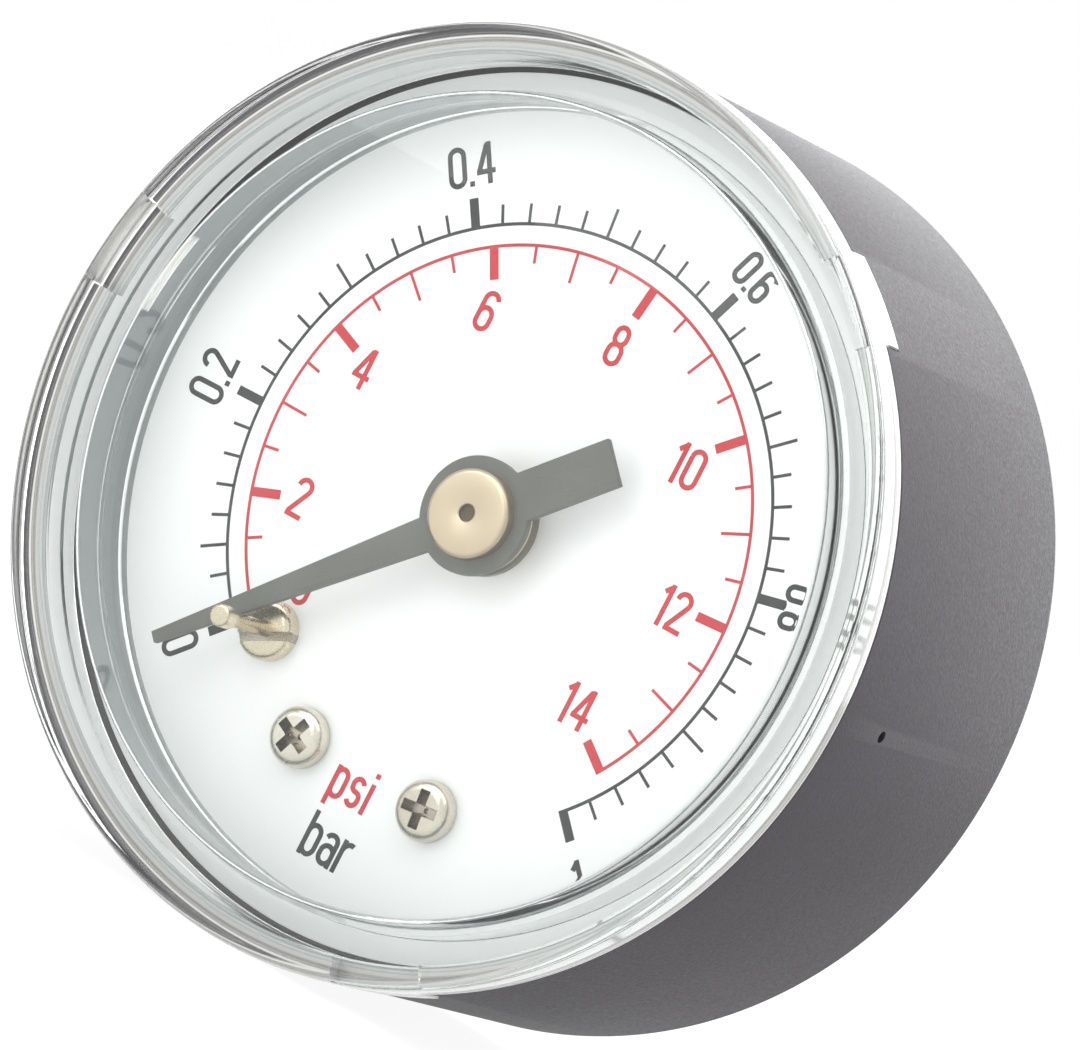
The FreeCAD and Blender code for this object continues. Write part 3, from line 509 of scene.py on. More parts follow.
def clear_plastic():
    """Clear body with a frosted outer wall, a hazy skirt, milky lugs and a ground ring behind its rim."""
    finish = Finish("clear_plastic", srgb(253, 255, 254), IOR=1.49, Transmission_Weight=1.0)
    tree = finish.tree
    depth = finish.along_axis()
    rings = finish.group(ring_group, Ring_Scale=GROUND_RING_SCALE)
    reach = rings["Reach"]
    wall = remap(tree, reach, 0, FROSTING, FROST_START, FROST_FULL)
    skirt = finish.between(reach, SKIRT_BORE - THIN_SHELL, SKIRT_OUTER + SNAP_BEAD + THIN_SHELL)
    skirt = finish.maths("MULTIPLY", skirt, finish.maths("GREATER_THAN", depth, seat_y + THIN_SHELL))
    haze = finish.maths("MULTIPLY", skirt, SKIRT_HAZE)
    finish.vary("Roughness", finish.maths("MAXIMUM", wall, haze), 0.01, 1.0)
    lines = add(tree, "ShaderNodeTexNoise", "draw lines", noise_dimensions="1D", Detail=1.0, Scale=DRAW_LINE_SCALE)
    tree.links.new(depth, lines.inputs["W"])
    drawn = finish.maths("MULTIPLY", skirt, finish.maths("GREATER_THAN", reach, SKIRT_OUTER - THIN_SHELL))
    finish.bump(finish.maths("MULTIPLY", drawn, lines.outputs["Fac"]), DRAW_LINE_DEPTH, 0.5)
    lugs = finish.between(depth, seat_y + THIN_SHELL, lug_end + THIN_SHELL)
    lugs = finish.maths("MULTIPLY", lugs, finish.maths("GREATER_THAN", reach, FROST_FULL))
    under_rim = finish.between(depth, seat_y - THIN_SHELL, seat_y + THIN_SHELL)
    under_lug = finish.between(depth, lug_end - THIN_SHELL, lug_end + THIN_SHELL)
    ground = finish.maths("MULTIPLY", finish.maths("MAXIMUM", under_rim, under_lug),
                          finish.between(reach, SKIRT_OUTER + THIN_SHELL, GROUND_REACH))
    ground = finish.maths("MULTIPLY", ground, remap(tree, rings["Rings"], *GROUND_MILK))
    milk = finish.maths("MAXIMUM", finish.maths("MULTIPLY", lugs, LUG_MILK), ground)
    pale = add(tree, "ShaderNodeBsdfDiffuse", Color=srgb(242, 241, 236))
    body = add(tree, "ShaderNodeMixShader")
    tree.links.new(milk, body.inputs["Fac"])
    tree.links.new(finish.shader.outputs["BSDF"], body.inputs[1])
    tree.links.new(pale.outputs["BSDF"], body.inputs[2])
    paths = add(tree, "ShaderNodeLightPath")
    either = add(tree, "ShaderNodeMath", operation="MAXIMUM")
    tree.links.new(paths.outputs["Is Shadow Ray"], either.inputs[0])
    tree.links.new(paths.outputs["Is Diffuse Ray"], either.inputs[1])
    clear = add(tree, "ShaderNodeBsdfTransparent")
    mix = add(tree, "ShaderNodeMixShader")
    tree.links.new(either.outputs[0], mix.inputs["Fac"])
    tree.links.new(body.outputs["Shader"], mix.inputs[1])
    tree.links.new(clear.outputs["BSDF"], mix.inputs[2])
    tree.links.new(mix.outputs["Shader"], tree.nodes["Material Output"].inputs["Surface"])
    return finish.material


# %% [markdown]
# ## Paint and ink
# The dial is painted white and printed. Print is a little glossier than the paint and its edges are
# crisp, so the marks are thin pieces of their own, and ink is only a finish on them.

# %% White dial paint, printing inks and pointer paint
def dial_white():
    finish = Finish("dial_white", srgb(246, 247, 246), Roughness=0.45)
    grain = finish.group(grain_group, Fine_Scale=5000, Slow_Scale=70)
    finish.tint(grain["Slow"], srgb(243, 245, 244))
    finish.vary("Roughness", grain["Fine"], 0.4, 0.55)
    finish.bump(grain["Fine"], 0.004 * MM, 0.4)
    return finish.material


def ink(name, colour, thin):
    """Screen-printed ink, slightly thinner in places."""
    finish = Finish(name, colour, Specular_IOR_Level=0.25)
    grain = finish.group(grain_group, Fine_Scale=14000, Slow_Scale=700)
    finish.tint(grain["Slow"], thin)
    finish.vary("Roughness", grain["Fine"], 0.35, 0.5)
    return finish.material


def pointer_black():
    finish = Finish("pointer_black", srgb(88, 90, 85))
    grain = finish.group(grain_group, Fine_Scale=8000, Slow_Scale=400)
    finish.tint(grain["Slow"], srgb(98, 99, 93))
    finish.vary("Roughness", grain["Fine"], 0.42, 0.6)
    finish.bump(grain["Fine"], 0.01 * MM, 0.6)
    return finish.material


# %% [markdown]
# ## Metals
# Brass for the bush, the socket and the movement, steel for arbors and pins, bronze for the springs and
# nickel plate on the screws. A turned face gets rings round its own axis, and a rolled sheet or a drawn
# tube only gets grain. All of them have a slow change of tone, as handled metal has.

# %% Metal finishes
def metal(name, colour, shade, rough, axis=None, ring_depth=0.004, grain_depth=0.002, fine=12000, recess_shade=None):
    """Bare or plated metal. With an axis it carries turning rings, and a painted shade darkens its marked recesses."""
    finish = Finish(name, colour, Metallic=1.0)
    grain = finish.group(grain_group, Fine_Scale=fine, Slow_Scale=260)
    finish.tint(grain["Slow"], shade)
    if recess_shade is not None:
        # Painted shade: faces marked as recess take the darker recess colour.
        finish.tint(add(finish.tree, "ShaderNodeAttribute", attribute_name="recess").outputs["Fac"], recess_shade)
    finish.vary("Roughness", grain["Fine"], rough - 0.05, rough + 0.08)
    finish.bump(grain["Fine"], grain_depth * MM, 0.6)
    if axis is not None:
        rings = finish.group(ring_group, Axis_X=axis[0], Axis_Z=axis[1])
        finish.bump(rings["Rings"], ring_depth * MM, 0.8)
    return finish.material


DARK_FROM = 2.84 * MM


def hub_brass():
    """Cream brass, satin on its head, with a darker collar behind the pointer."""
    finish = Finish("hub_brass", srgb(212, 195, 168), Metallic=1.0)
    rings = finish.group(ring_group, Ring_Scale=9000)
    # The collar is tinted darker from DARK_FROM outwards.
    finish.tint(finish.maths("GREATER_THAN", rings["Reach"], DARK_FROM), srgb(112, 111, 100))
    grain = finish.group(grain_group, Fine_Scale=3000, Slow_Scale=500)
    finish.vary("Roughness", grain["Slow"], 0.3, 0.38)
    finish.bump(rings["Rings"], 0.0015 * MM, 0.5)
    return finish.material


BRASS = (srgb(226, 196, 142), srgb(205, 171, 115))
CREAM_BRASS = (srgb(226, 215, 192), srgb(214, 202, 176))
# Painted shade: the pinion is painted dark brown, for its end that sits in shade in the bore of the bush.
PINION_SHADE_STEEL = (srgb(104, 88, 70), srgb(78, 66, 54))
# Painted shade for the screw recesses and the slot of the stop foot, a darker tone where shade falls.
RECESS_SHADE = srgb(178, 170, 158)
NICKEL = (srgb(226, 220, 206), srgb(205, 197, 180))
STEEL = (srgb(196, 197, 200), srgb(168, 170, 174))
BRONZE = (srgb(214, 165, 118), srgb(188, 137, 92))

case_finish = black_plastic()
lens_finish = clear_plastic()
dial_finish = dial_white()
black_ink = ink("black_ink", srgb(38, 39, 40), srgb(58, 59, 60))
red_ink = ink("red_ink", srgb(190, 36, 46), srgb(198, 50, 58))
pointer_finish = pointer_black()
print("finishes:", len(bpy.data.materials))


# %% Helper that hands a finished piece over
def place_piece(piece, material, body, slot, *replaced, smooth=SMOOTH_ANGLE):
    """Smooths a piece, gives it its finish and body, and hides the nodes that it stands for."""
    activate(piece)
    bpy.ops.object.shade_smooth_by_angle(angle=smooth)
    piece.data.materials.clear()
    piece.data.materials.append(material)
    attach(piece, body)
    if replaced:
        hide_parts(*replaced)
    print(piece.name, len(piece.data.polygons), "faces, on", body)
    return piece


# %% [markdown]
# ## The case
# The cup is one moulding: a thin wall, a floor with a hole for the neck of the socket, three notches in
# the rim for the lugs of the lens, a groove that the lens snaps into and a tiny vent hole in the side.
# The cup is turned, its edges are rounded as a mould would, and then the notches and holes are cut.

# %% Turn the cup
snap_y = dial_face - SNAP_HEIGHT
groove = SNAP_BEAD + SNAP_CLEARANCE
floor_y = case_back - CASE_FLOOR
cup = turned("case_cup", [
    (case_radius, case_back), (case_radius, case_rim), (CASE_BORE, case_rim), (CASE_BORE, snap_y - groove),
    (CASE_BORE + groove, snap_y), (CASE_BORE, snap_y + groove), (CASE_BORE, floor_y), (NECK_HOLE, floor_y),
    (NECK_HOLE, case_back), (case_radius, case_back)], hole=True)
soften(cup, on_ring(case_radius, case_back), CASE_BACK_ROUND, 8)
soften(cup, on_ring(case_radius, case_rim), 0.12 * MM, 3)
soften(cup, on_ring(CASE_BORE, case_rim), 0.12 * MM, 3)
soften(cup, on_ring(CASE_BORE + groove, snap_y), 0.12 * MM, 3)
soften(cup, on_ring(NECK_HOLE, case_back), 0.2 * MM, 3)
print("cup turned with", len(cup.data.vertices), "corners")

# %% Cut the notches, the screw holes and the vent
spread = LUG_HALF_ANGLE + math.degrees(LUG_CLEARANCE / case_radius)
for lug_clock in LUG_CLOCKS:
    notch = arc_block("notch", CASE_BORE - LUG_CLEARANCE, case_radius + LUG_CLEARANCE, case_rim - LUG_CLEARANCE,
                      case_rim + LUG_DEPTH + LUG_CLEARANCE, lug_clock, spread)
    combine(cup, notch, "DIFFERENCE")
REAR_SCREW_X = (rear_high.x - rear_low.x) / 2 - 2.3 * MM
REAR_HOLE = 1.4 * MM
for side in (-1, 1):
    hole = rod("screw_hole", REAR_HOLE, floor_y - MM, case_back + MM, (side * REAR_SCREW_X, 0.0))
    combine(cup, hole, "DIFFERENCE")
start_clean()
bpy.ops.mesh.primitive_cylinder_add(vertices=24, radius=VENT_RADIUS, depth=VENT_DEPTH * 2, rotation=(0, math.radians(90), 0),
                                    location=(case_radius, dial_face + VENT_HEIGHT, 0))
combine(cup, settle(name_new("vent_drill")), "DIFFERENCE")
place_piece(cup, case_finish, "housing", "black_plastic", "case")


# %% [markdown]
# ## The lens
# The lens is one clear moulding too: a flat window with a rounded edge, and a skirt that plugs into the
# case. Its rings come from its real section: light bends at the skirt, its inner step and its snap bead,
# and shows the black wall behind them. Flat shading or a single sheet would lose all of those rings.

# %% Turn the lens
window_back = lens_low.y + WINDOW_THICKNESS
lens_radius = lens_high.x
skirt_end = lens_high.y
step_y = dial_face - SKIRT_STEP_HEIGHT
wide_bore = SKIRT_BORE + SKIRT_STEP
lens = turned("lens_clear", [
    (lens_radius, lens_low.y), (lens_radius, seat_y), (SKIRT_OUTER, seat_y), (SKIRT_OUTER, lug_end),
    (SKIRT_OUTER, snap_y - SNAP_BEAD), (SKIRT_OUTER + SNAP_BEAD, snap_y), (SKIRT_OUTER, snap_y + SNAP_BEAD),
    (SKIRT_OUTER, skirt_end), (wide_bore, skirt_end), (wide_bore, step_y), (SKIRT_BORE, step_y),
    (SKIRT_BORE, window_back)])
print("lens turned with", len(lens.data.vertices), "corners")


# %% Pull the lugs down from the rim
def on_lug(corner, slack):
    """True for a corner in the stretch of rim that a lug takes, made longer by a slack in degrees."""
    angle = math.degrees(math.atan2(corner.x, corner.z))
    return any(abs((angle - middle + 180) % 360 - 180) < LUG_HALF_ANGLE + slack for middle in LUG_CLOCKS)


def rim_of_lug(corner):
    return abs(corner.y - seat_y) < CLOSE and on_lug(corner, 0.1)


def wall_inside_lug(corner):
    reach = math.hypot(corner.x, corner.z)
    return abs(reach - SKIRT_OUTER) < 2 * CLOSE and seat_y - CLOSE < corner.y < lug_end + CLOSE and on_lug(corner, 0.1)


activate(lens)
bpy.ops.object.mode_set(mode="EDIT")
pick(lens, "faces", rim_of_lug)
bpy.ops.mesh.extrude_region_move(TRANSFORM_OT_translate={"value": (0, lug_end - seat_y, 0)})
pick(lens, "faces", wall_inside_lug)
bpy.ops.mesh.delete(type="FACE")
bpy.ops.object.mode_set(mode="OBJECT")
outward(lens)
print("lugs:", len(LUG_CLOCKS), "each", round(2 * math.radians(LUG_HALF_ANGLE) * lens_radius / MM, 2), "mm long")


# %% Round the edges of the lens
def lug_upper_end(corner):
    """The end of a lug that comes first going clockwise, where it meets the lug's lower face."""
    angle = math.degrees(math.atan2(corner.x, corner.z)) % 360
    ends = [middle - LUG_HALF_ANGLE for middle in LUG_CLOCKS]
    return min(abs(angle - end) for end in ends) < 0.05 and abs(corner.y - lug_end) < CLOSE


def between_lugs(corner):
    return on_ring(lens_radius, seat_y)(corner) and not on_lug(corner, -0.1)


soften(lens, on_ring(lens_radius, lug_end), 0.1 * MM, 2)
soften(lens, lug_upper_end, LUG_CORNER, 5)
soften(lens, between_lugs, 0.3 * MM, 3)
soften(lens, on_ring(lens_radius, lens_low.y), LENS_CORNER_ROUND, 10)
soften(lens, on_ring(SKIRT_BORE, window_back), 0.35 * MM, 5)
soften(lens, on_ring(SKIRT_OUTER + SNAP_BEAD, snap_y), 0.12 * MM, 3)
for ring in ((SKIRT_OUTER, skirt_end), (wide_bore, skirt_end), (SKIRT_BORE, step_y)):
    soften(lens, on_ring(*ring), 0.1 * MM, 3)
place_piece(outward(lens), lens_finish, "housing", "clear_plastic", "lens")

# %% [markdown]
# ## The dial and its print
# The dial is a thin disc. Print could be drawn in its material, but real marks keep their crisp edges at
# any distance, so each mark is a very thin solid. One mark is made, and the spin operator repeats it.

# %% Turn the dial
DIAL_HOLE = 1.5 * MM
dial = turned("dial_disc", [(dial_high.x, dial_face), (dial_high.x, dial_high.y), (DIAL_HOLE, dial_high.y),
                            (DIAL_HOLE, dial_face), (dial_high.x, dial_face)], hole=True)
soften(dial, on_ring(dial_high.x, dial_face), 0.05 * MM, 2)
place_piece(dial, dial_finish, "housing", "dial_white", "dial")

# %% Scales of the dial
SCALE_START = -135.0
SCALE_END = 135.0
DEGREES_PER_BAR = 282.9
BAR_PER_PSI = 0.0689476
INK_FRONT = dial_face - 0.012 * MM
INK_BACK = dial_face + 0.004 * MM
BAR_ARC = 15.96 * MM
BAR_MINOR_END = 17.05 * MM
BAR_MAJOR_END = 17.6 * MM
PSI_ARC = 14.82 * MM
PSI_MINOR_END = 13.85 * MM
PSI_MIDDLE_END = 13.13 * MM
PSI_MAJOR_END = 13.03 * MM
BAR_FIGURES = {0: (19.4, 2.3), 2: (19.4, 2.3), 4: (19.4, 2.3), 6: (19.0, 2.0), 8: (18.4, 2.0), 10: (19.7, 2.1)}
PSI_FIGURES = {0: (11.5, 2.7), 2: (11.8, 0), 4: (11.9, -1.4), 6: (11.4, -2.2), 8: (11.3, 0.3), 10: (11.3, 2),
               12: (11.6, 0.9), 14: (11.1, -1.2)}
LINE = 0.18 * MM
THIN = 0.17 * MM
THICK = 0.52 * MM


def bar_clock(bar):
    return SCALE_END - (1 - bar) * DEGREES_PER_BAR


def psi_clock(psi):
    return bar_clock(psi * BAR_PER_PSI)


# %% Helpers that print arcs and marks
def spun(piece, steps, degrees, copies):
    """Spins a piece clockwise about the gauge axis, as one sweep or as separate copies."""
    activate(piece)
    bpy.ops.object.mode_set(mode="EDIT")
    bpy.ops.mesh.select_all(action="SELECT")
    bpy.ops.mesh.spin(steps=steps, dupli=copies, angle=math.radians(degrees), center=(0, 0, 0), axis=(0, -1, 0))
    bpy.ops.object.mode_set(mode="OBJECT")
    return piece


def print_arc(radius, first, last):
    start_clean()
    bpy.ops.mesh.primitive_plane_add(size=1, location=(0, (INK_FRONT + INK_BACK) / 2, radius),
                                     rotation=(0, math.radians(90), 0))
    section = name_new("arc")
    section.scale = (LINE, INK_BACK - INK_FRONT, 1)
    settle(section)
    section.rotation_euler = (0, math.radians(first), 0)
    settle(section)
    return outward(spun(section, 180, last - first, False))


def print_marks(width, inner, outer, clocks):
    """Marks between two radii, at evenly spaced clock angles."""
    start_clean()
    bpy.ops.mesh.primitive_cube_add(size=1, location=(0, (INK_FRONT + INK_BACK) / 2, (inner + outer) / 2))
    mark = name_new("marks")
    mark.scale = (width, INK_BACK - INK_FRONT, outer - inner)
    settle(mark)
    mark.rotation_euler = (0, math.radians(clocks[0]), 0)
    settle(mark)
    steps = len(clocks) - 1
    return spun(mark, steps, clocks[-1] - clocks[0], True) if steps else mark


# %% Print the bar scale and the psi scale
BAR_STEP = 0.02
FIRST_BAR_MARK = 0.08
bar_steps = round((1 - FIRST_BAR_MARK) / BAR_STEP)
bar_minor = [bar_clock(FIRST_BAR_MARK + BAR_STEP * index) for index in range(bar_steps + 1)]
bar_middle = [bar_clock(0.1 + 0.2 * index) for index in range(5)]
bar_major = [bar_clock(0.2 * index) for index in range(1, 6)]
black_marks = [
    print_arc(BAR_ARC, SCALE_START, SCALE_END + 0.5),
    print_marks(THIN, BAR_ARC, BAR_MINOR_END, bar_minor),
    print_marks(THIN, BAR_ARC, BAR_MAJOR_END, bar_middle),
    print_marks(THICK, BAR_ARC - LINE / 2, BAR_MAJOR_END, bar_major),
    print_marks(THICK, BAR_ARC - LINE / 2, BAR_MAJOR_END, [SCALE_START])]
FIRST_PSI_MARK = 1.5
psi_minor = [psi_clock(FIRST_PSI_MARK + 0.5 * index) for index in range(26)]
psi_middle = [psi_clock(3 + 2 * index) for index in range(6)]
psi_major = [psi_clock(2 * index) for index in range(1, 8)]
red_marks = [
    print_arc(PSI_ARC, SCALE_START, psi_clock(14)),
    print_marks(THIN, PSI_MINOR_END, PSI_ARC, psi_minor),
    print_marks(THIN, PSI_MIDDLE_END, PSI_ARC, psi_middle),
    print_marks(THICK, PSI_MAJOR_END, PSI_ARC + LINE / 2, psi_major),
    print_marks(THICK, PSI_MAJOR_END, PSI_ARC + LINE / 2, [SCALE_START])]
print("marks:", len(bar_minor), "on the bar scale,", len(psi_minor), "on the psi scale")

# %% [markdown]
# The figures are narrow, with strokes of even width, as a drafting stencil gives. A text object would
# have to be squeezed, which thins its upright strokes, so each figure is drawn as a few strokes, and a
# flat nib follows them. Figures sit in a box one unit high, with their middle at zero.

# %% Strokes of the figures
NIB = 0.28 * MM
HALF_WIDTH = 0.175
TOP_BOW = 0.26
BOW_HEIGHT = 0.175


def bow(x, y, wide, high, first, last, steps=12):
    """Points on part of an oval, with angles in degrees counted from the right."""
    points = []
    for index in range(steps + 1):
        turn = math.radians(first + (last - first) * index / steps)
        points.append((x + wide * math.cos(turn), y + high * math.sin(turn)))
    return points


def loop(x, low, high, wide, rise):
    """Closed upright loop with round ends."""
    return bow(x, high, wide, rise, 180, 0) + bow(x, low, wide, rise, 0, -180) + [(x - wide, high)]


FIGURES = {
    "0": (0.50, [loop(0, -TOP_BOW, TOP_BOW, HALF_WIDTH, BOW_HEIGHT)]),
    "1": (0.36, [[(0.04, 0.5), (0.04, -0.5)], [(-0.12, 0.27), (0.03, 0.43)]]),
    "2": (0.50, [bow(0, TOP_BOW, HALF_WIDTH, BOW_HEIGHT, 180, -28) + [(-0.16, -0.40)], [(-0.21, -0.4375), (0.24, -0.4375)]]),
    "4": (0.52, [[(0.09, 0.5), (0.09, -0.5)], [(0.05, 0.46), (-0.18, -0.19)], [(-0.24, -0.2), (0.24, -0.2)]]),
    "6": (0.50, [bow(0, TOP_BOW, HALF_WIDTH, BOW_HEIGHT, 15, 180) + [(-HALF_WIDTH, -TOP_BOW)],
                 loop(0, -TOP_BOW, -0.10, HALF_WIDTH, BOW_HEIGHT)]),
    "8": (0.50, [loop(0, 0.19, 0.28, 0.155, 0.16), loop(0, -0.27, -0.14, HALF_WIDTH, 0.17)]),
    ".": (0.22, [[(0, -0.5), (0, -0.375)]]),
    "p": (0.50, [[(-0.15, 0.26), (-0.15, -0.70)], loop(0.0, -0.27, 0.03, 0.15, 0.17)]),
    "s": (0.46, [bow(0, 0.05, 0.135, 0.145, 20, 180) + bow(0, 0.0, 0.135, 0.11, 180, 270)[4:]
                 + bow(0, -0.235, 0.135, 0.125, 90, 0)[4:] + bow(0, -0.29, 0.135, 0.145, 0, -160)]),
    "i": (0.24, [[(0, 0.24), (0, -0.5)], [(0, 0.5), (0, 0.38)]]),
    "b": (0.46, [[(-0.15, 0.5), (-0.15, -0.5)], loop(0.0, -0.27, 0.03, 0.15, 0.17)]),
    "a": (0.46, [[(0.15, 0.06), (0.15, -0.5)], bow(0, 0.05, 0.15, 0.145, 0, 160),
                 loop(0.0, -0.29, -0.20, 0.15, 0.15)]),
    "r": (0.34, [[(-0.09, 0.26), (-0.09, -0.5)], bow(0.08, -0.02, 0.17, 0.22, 165, 70)]),
}


# %% Helpers that write with a flat nib
def make_nib():
    """Flat rectangle that a stroke drags along."""
    curve = bpy.data.curves.new("nib", "CURVE")
    curve.dimensions = "2D"
    line = curve.splines.new("POLY")
    line.points.add(3)
    half = NIB / 2
    deep = (INK_BACK - INK_FRONT) / 2
    for point, corner in zip(line.points, ((-half, -deep), (half, -deep), (half, deep), (-half, deep))):
        point.co = (*corner, 0, 1)
    line.use_cyclic_u = True
    nib = bpy.data.objects.new("nib", curve)
    bpy.context.scene.collection.objects.link(nib)
    return nib


def write(words):
    """Writes several (text, x, z, clockwise turn, height) with one nib, as one mesh on the dial."""
    curve = bpy.data.curves.new("figures", "CURVE")
    curve.dimensions = "2D"
    curve.fill_mode = "NONE"
    nib = make_nib()
    curve.bevel_mode = "OBJECT"
    curve.bevel_object = nib
    curve.use_fill_caps = True
    for text, x, z, turn, height in words:
        across = math.radians(turn)
        pen = -sum(FIGURES[letter][0] for letter in text) / 2
        for letter in text:
            width, strokes = FIGURES[letter]
            for stroke in strokes:
                line = curve.splines.new("POLY")
                line.points.add(len(stroke) - 1)
                for point, (along, up) in zip(line.points, stroke):
                    right = (along + pen + width / 2) * height
                    rise = up * height
                    point.co = (x + right * math.cos(across) + rise * math.sin(across),
                                z - right * math.sin(across) + rise * math.cos(across), 0, 1)
            pen += width
    written = bpy.data.objects.new("figures", curve)
    bpy.context.scene.collection.objects.link(written)
    activate(written)
    bpy.ops.object.convert(target="MESH")
    written.rotation_euler = (math.radians(90), 0, 0)
    written.location = (0, (INK_FRONT + INK_BACK) / 2, 0)
    settle(written)
    bpy.data.objects.remove(nib)
    return outward(written)


# %% Write the figures and join each colour
FIGURE_HEIGHT = 2.3 * MM
PSI_HEIGHT = 2.35 * MM
BAR_HEIGHT = 2.5 * MM
bar_words = [("bar", -0.15 * MM, -18.9 * MM, 0.0, BAR_HEIGHT)]
for tenths, (radius, height) in BAR_FIGURES.items():
    angle = bar_clock(tenths / 10) if tenths else SCALE_START
    x, z = clock(radius * MM, angle)
    if tenths == 10:
        bar_words.append(("1", x, z, angle + 180, height * MM))
    else:
        bar_words.append(("0." + str(tenths) if tenths else "0", x, z, angle, height * MM))
psi_words = [("psi", -0.4 * MM, -15.6 * MM, 0.0, PSI_HEIGHT)]
for psi, (radius, lean) in PSI_FIGURES.items():
    angle = psi_clock(psi) if psi else SCALE_START
    x, z = clock(radius * MM, angle + lean)
    psi_words.append((str(psi), x, z, 0.0, FIGURE_HEIGHT))
black_print = fused(joined("dial_print_black", black_marks + [write(bar_words)]))
place_piece(black_print, black_ink, "housing", "pointer_black")
red_print = fused(joined("dial_print_red", red_marks + [write(psi_words)]))
place_piece(red_print, red_ink, "housing", "dial_white")

# %% [markdown]
# ## The pointer and its bush
# The pointer is stamped from sheet and painted matt black: a ring, an arm that tapers to the tip and a
# square tail. The arm and the tail start as flat cubes whose far corners are moved, and are joined to
# the ring. The brass bush is turned, and its rivet head holds the ring from the front.

# %% Model the pointer
POINTER_ZERO = -135.0
RING_RADIUS = 3.15 * MM
BARREL_RADIUS = 1.5 * MM
ARM_LENGTH = 19.6 * MM
ARM_ROOT = 1.85 * MM
ARM_TIP = 0.62 * MM
TAIL_LENGTH = 8.35 * MM
TAIL_WIDTH = 2.6 * MM
STAMPED_EDGE = 0.05 * MM


def stamped_bar(name, width, start, end):
    """Flat bar along Z with the thickness of the pointer."""
    start_clean()
    middle = (pointer_low.y + pointer_high.y) / 2
    bpy.ops.mesh.primitive_cube_add(size=1, location=(0, middle, (start + end) / 2))
    piece = name_new(name)
    piece.scale = (width, pointer_high.y - pointer_low.y, end - start)
    return settle(piece)


arm = stamped_bar("arm", ARM_ROOT, RING_RADIUS * 0.9, ARM_LENGTH)
activate(arm)
bpy.ops.object.mode_set(mode="EDIT")
pick(arm, "verts", lambda corner: corner.z > ARM_LENGTH - CLOSE)
bpy.ops.transform.resize(value=(ARM_TIP / ARM_ROOT, 1, 1), center_override=(0, 0, ARM_LENGTH))
bpy.ops.object.mode_set(mode="OBJECT")
tail = stamped_bar("tail", TAIL_WIDTH, -TAIL_LENGTH, -RING_RADIUS * 0.8)
pointer = rod("pointer_blade", RING_RADIUS, pointer_low.y, pointer_high.y, segments=128)
combine(pointer, arm, "UNION")
combine(pointer, tail, "UNION")
combine(pointer, rod("barrel_hole", BARREL_RADIUS, pointer_low.y - MM, pointer_high.y + MM), "DIFFERENCE")
soften(pointer, lambda corner: abs(corner.y - pointer_low.y) < CLOSE, STAMPED_EDGE, 2)
pointer.rotation_euler = (0, math.radians(POINTER_ZERO), 0)
settle(pointer)
place_piece(pointer, pointer_finish, "pointer_arbor", "pointer_black", "pointer")

# %% Turn the bush
HUB_BORE = 0.45 * MM
HUB_HEAD = (hub_high.x - hub_low.x) / 2
HEAD_RADIUS = 2.37 * MM
COLLAR_RADIUS = 2.95 * MM
COLLAR_GROOVE = 0.22 * MM
groove_y = (pointer_high.y + hub_high.y) / 2
hub = turned("pointer_bush", [
    (HUB_BORE, hub_low.y), (HEAD_RADIUS, hub_low.y), (HEAD_RADIUS, pointer_low.y), (BARREL_RADIUS, pointer_low.y),
    (BARREL_RADIUS, pointer_high.y), (COLLAR_RADIUS, pointer_high.y), (COLLAR_RADIUS, groove_y - COLLAR_GROOVE),
    (COLLAR_RADIUS - COLLAR_GROOVE, groove_y), (COLLAR_RADIUS, groove_y + COLLAR_GROOVE),
    (COLLAR_RADIUS, hub_high.y), (HUB_BORE, hub_high.y), (HUB_BORE, hub_low.y)], hole=True, segments=128)
soften(hub, on_ring(HEAD_RADIUS, hub_low.y), 0.28 * MM, 5)
soften(hub, on_ring(HUB_BORE, hub_low.y), 0.1 * MM, 3)
soften(hub, on_ring(COLLAR_RADIUS, pointer_high.y), 0.1 * MM, 2)
soften(hub, on_ring(COLLAR_RADIUS, hub_high.y), 0.1 * MM, 2)
hub_finish = hub_brass()
place_piece(hub, hub_finish, "pointer_arbor", "brass", "pointer_hub")

# %% [markdown]
# ## Screws and the stop
# The dial is held by two nickel-plated screws with a cross recess, and the pointer rests on a pin that
# stands on a slotted foot. A recess that is only painted looks flat from the side, so a tapered cross is
# cut into a turned head. One helper makes the screws of the dial and those behind the case.

# %% Helper that makes a cross-head screw
def cross_tool(radius, depth, turn, y, middle):
    """Tapered cross that a driver fits: two bars with narrow lower ends, and a cone in the middle."""
    bars = []
    for side in (0.0, 90.0):
        start_clean()
        bpy.ops.mesh.primitive_cube_add(size=1, location=(0, y + depth * 0.4, 0))
        bar = name_new("recess_bar")
        bar.scale = (radius * 0.38, depth * 1.2, radius * 1.36)
        settle(bar)
        bpy.ops.object.mode_set(mode="EDIT")
        pick(bar, "verts", lambda corner: corner.y > y)
        bpy.ops.transform.resize(value=(0.6, 1, 0.7), center_override=(0, y + depth, 0))
        bpy.ops.object.mode_set(mode="OBJECT")
        bar.rotation_euler = (0, math.radians(side), 0)
        bars.append(settle(bar))
    tool = combine(bars[0], bars[1], "UNION")
    start_clean()
    bpy.ops.mesh.primitive_cone_add(vertices=24, radius1=radius * 0.5, radius2=radius * 0.05, depth=depth * 2.5,
                                    location=(0, y, 0), rotation=(math.radians(-90), 0, 0))
    combine(tool, settle(name_new("recess_cone")), "UNION")
    tool.rotation_euler = (0, math.radians(turn), 0)
    tool.location = (middle[0], 0, middle[1])
    return settle(tool)


def mark_recess(piece, test):
    """Writes a number to each face, 1 where its centre lies in a recess, for the finish to read."""
    marks = piece.data.attributes.new("recess", "FLOAT", "FACE")
    for face, mark in zip(piece.data.polygons, marks.data):
        mark.value = float(test(face.center))
    return piece


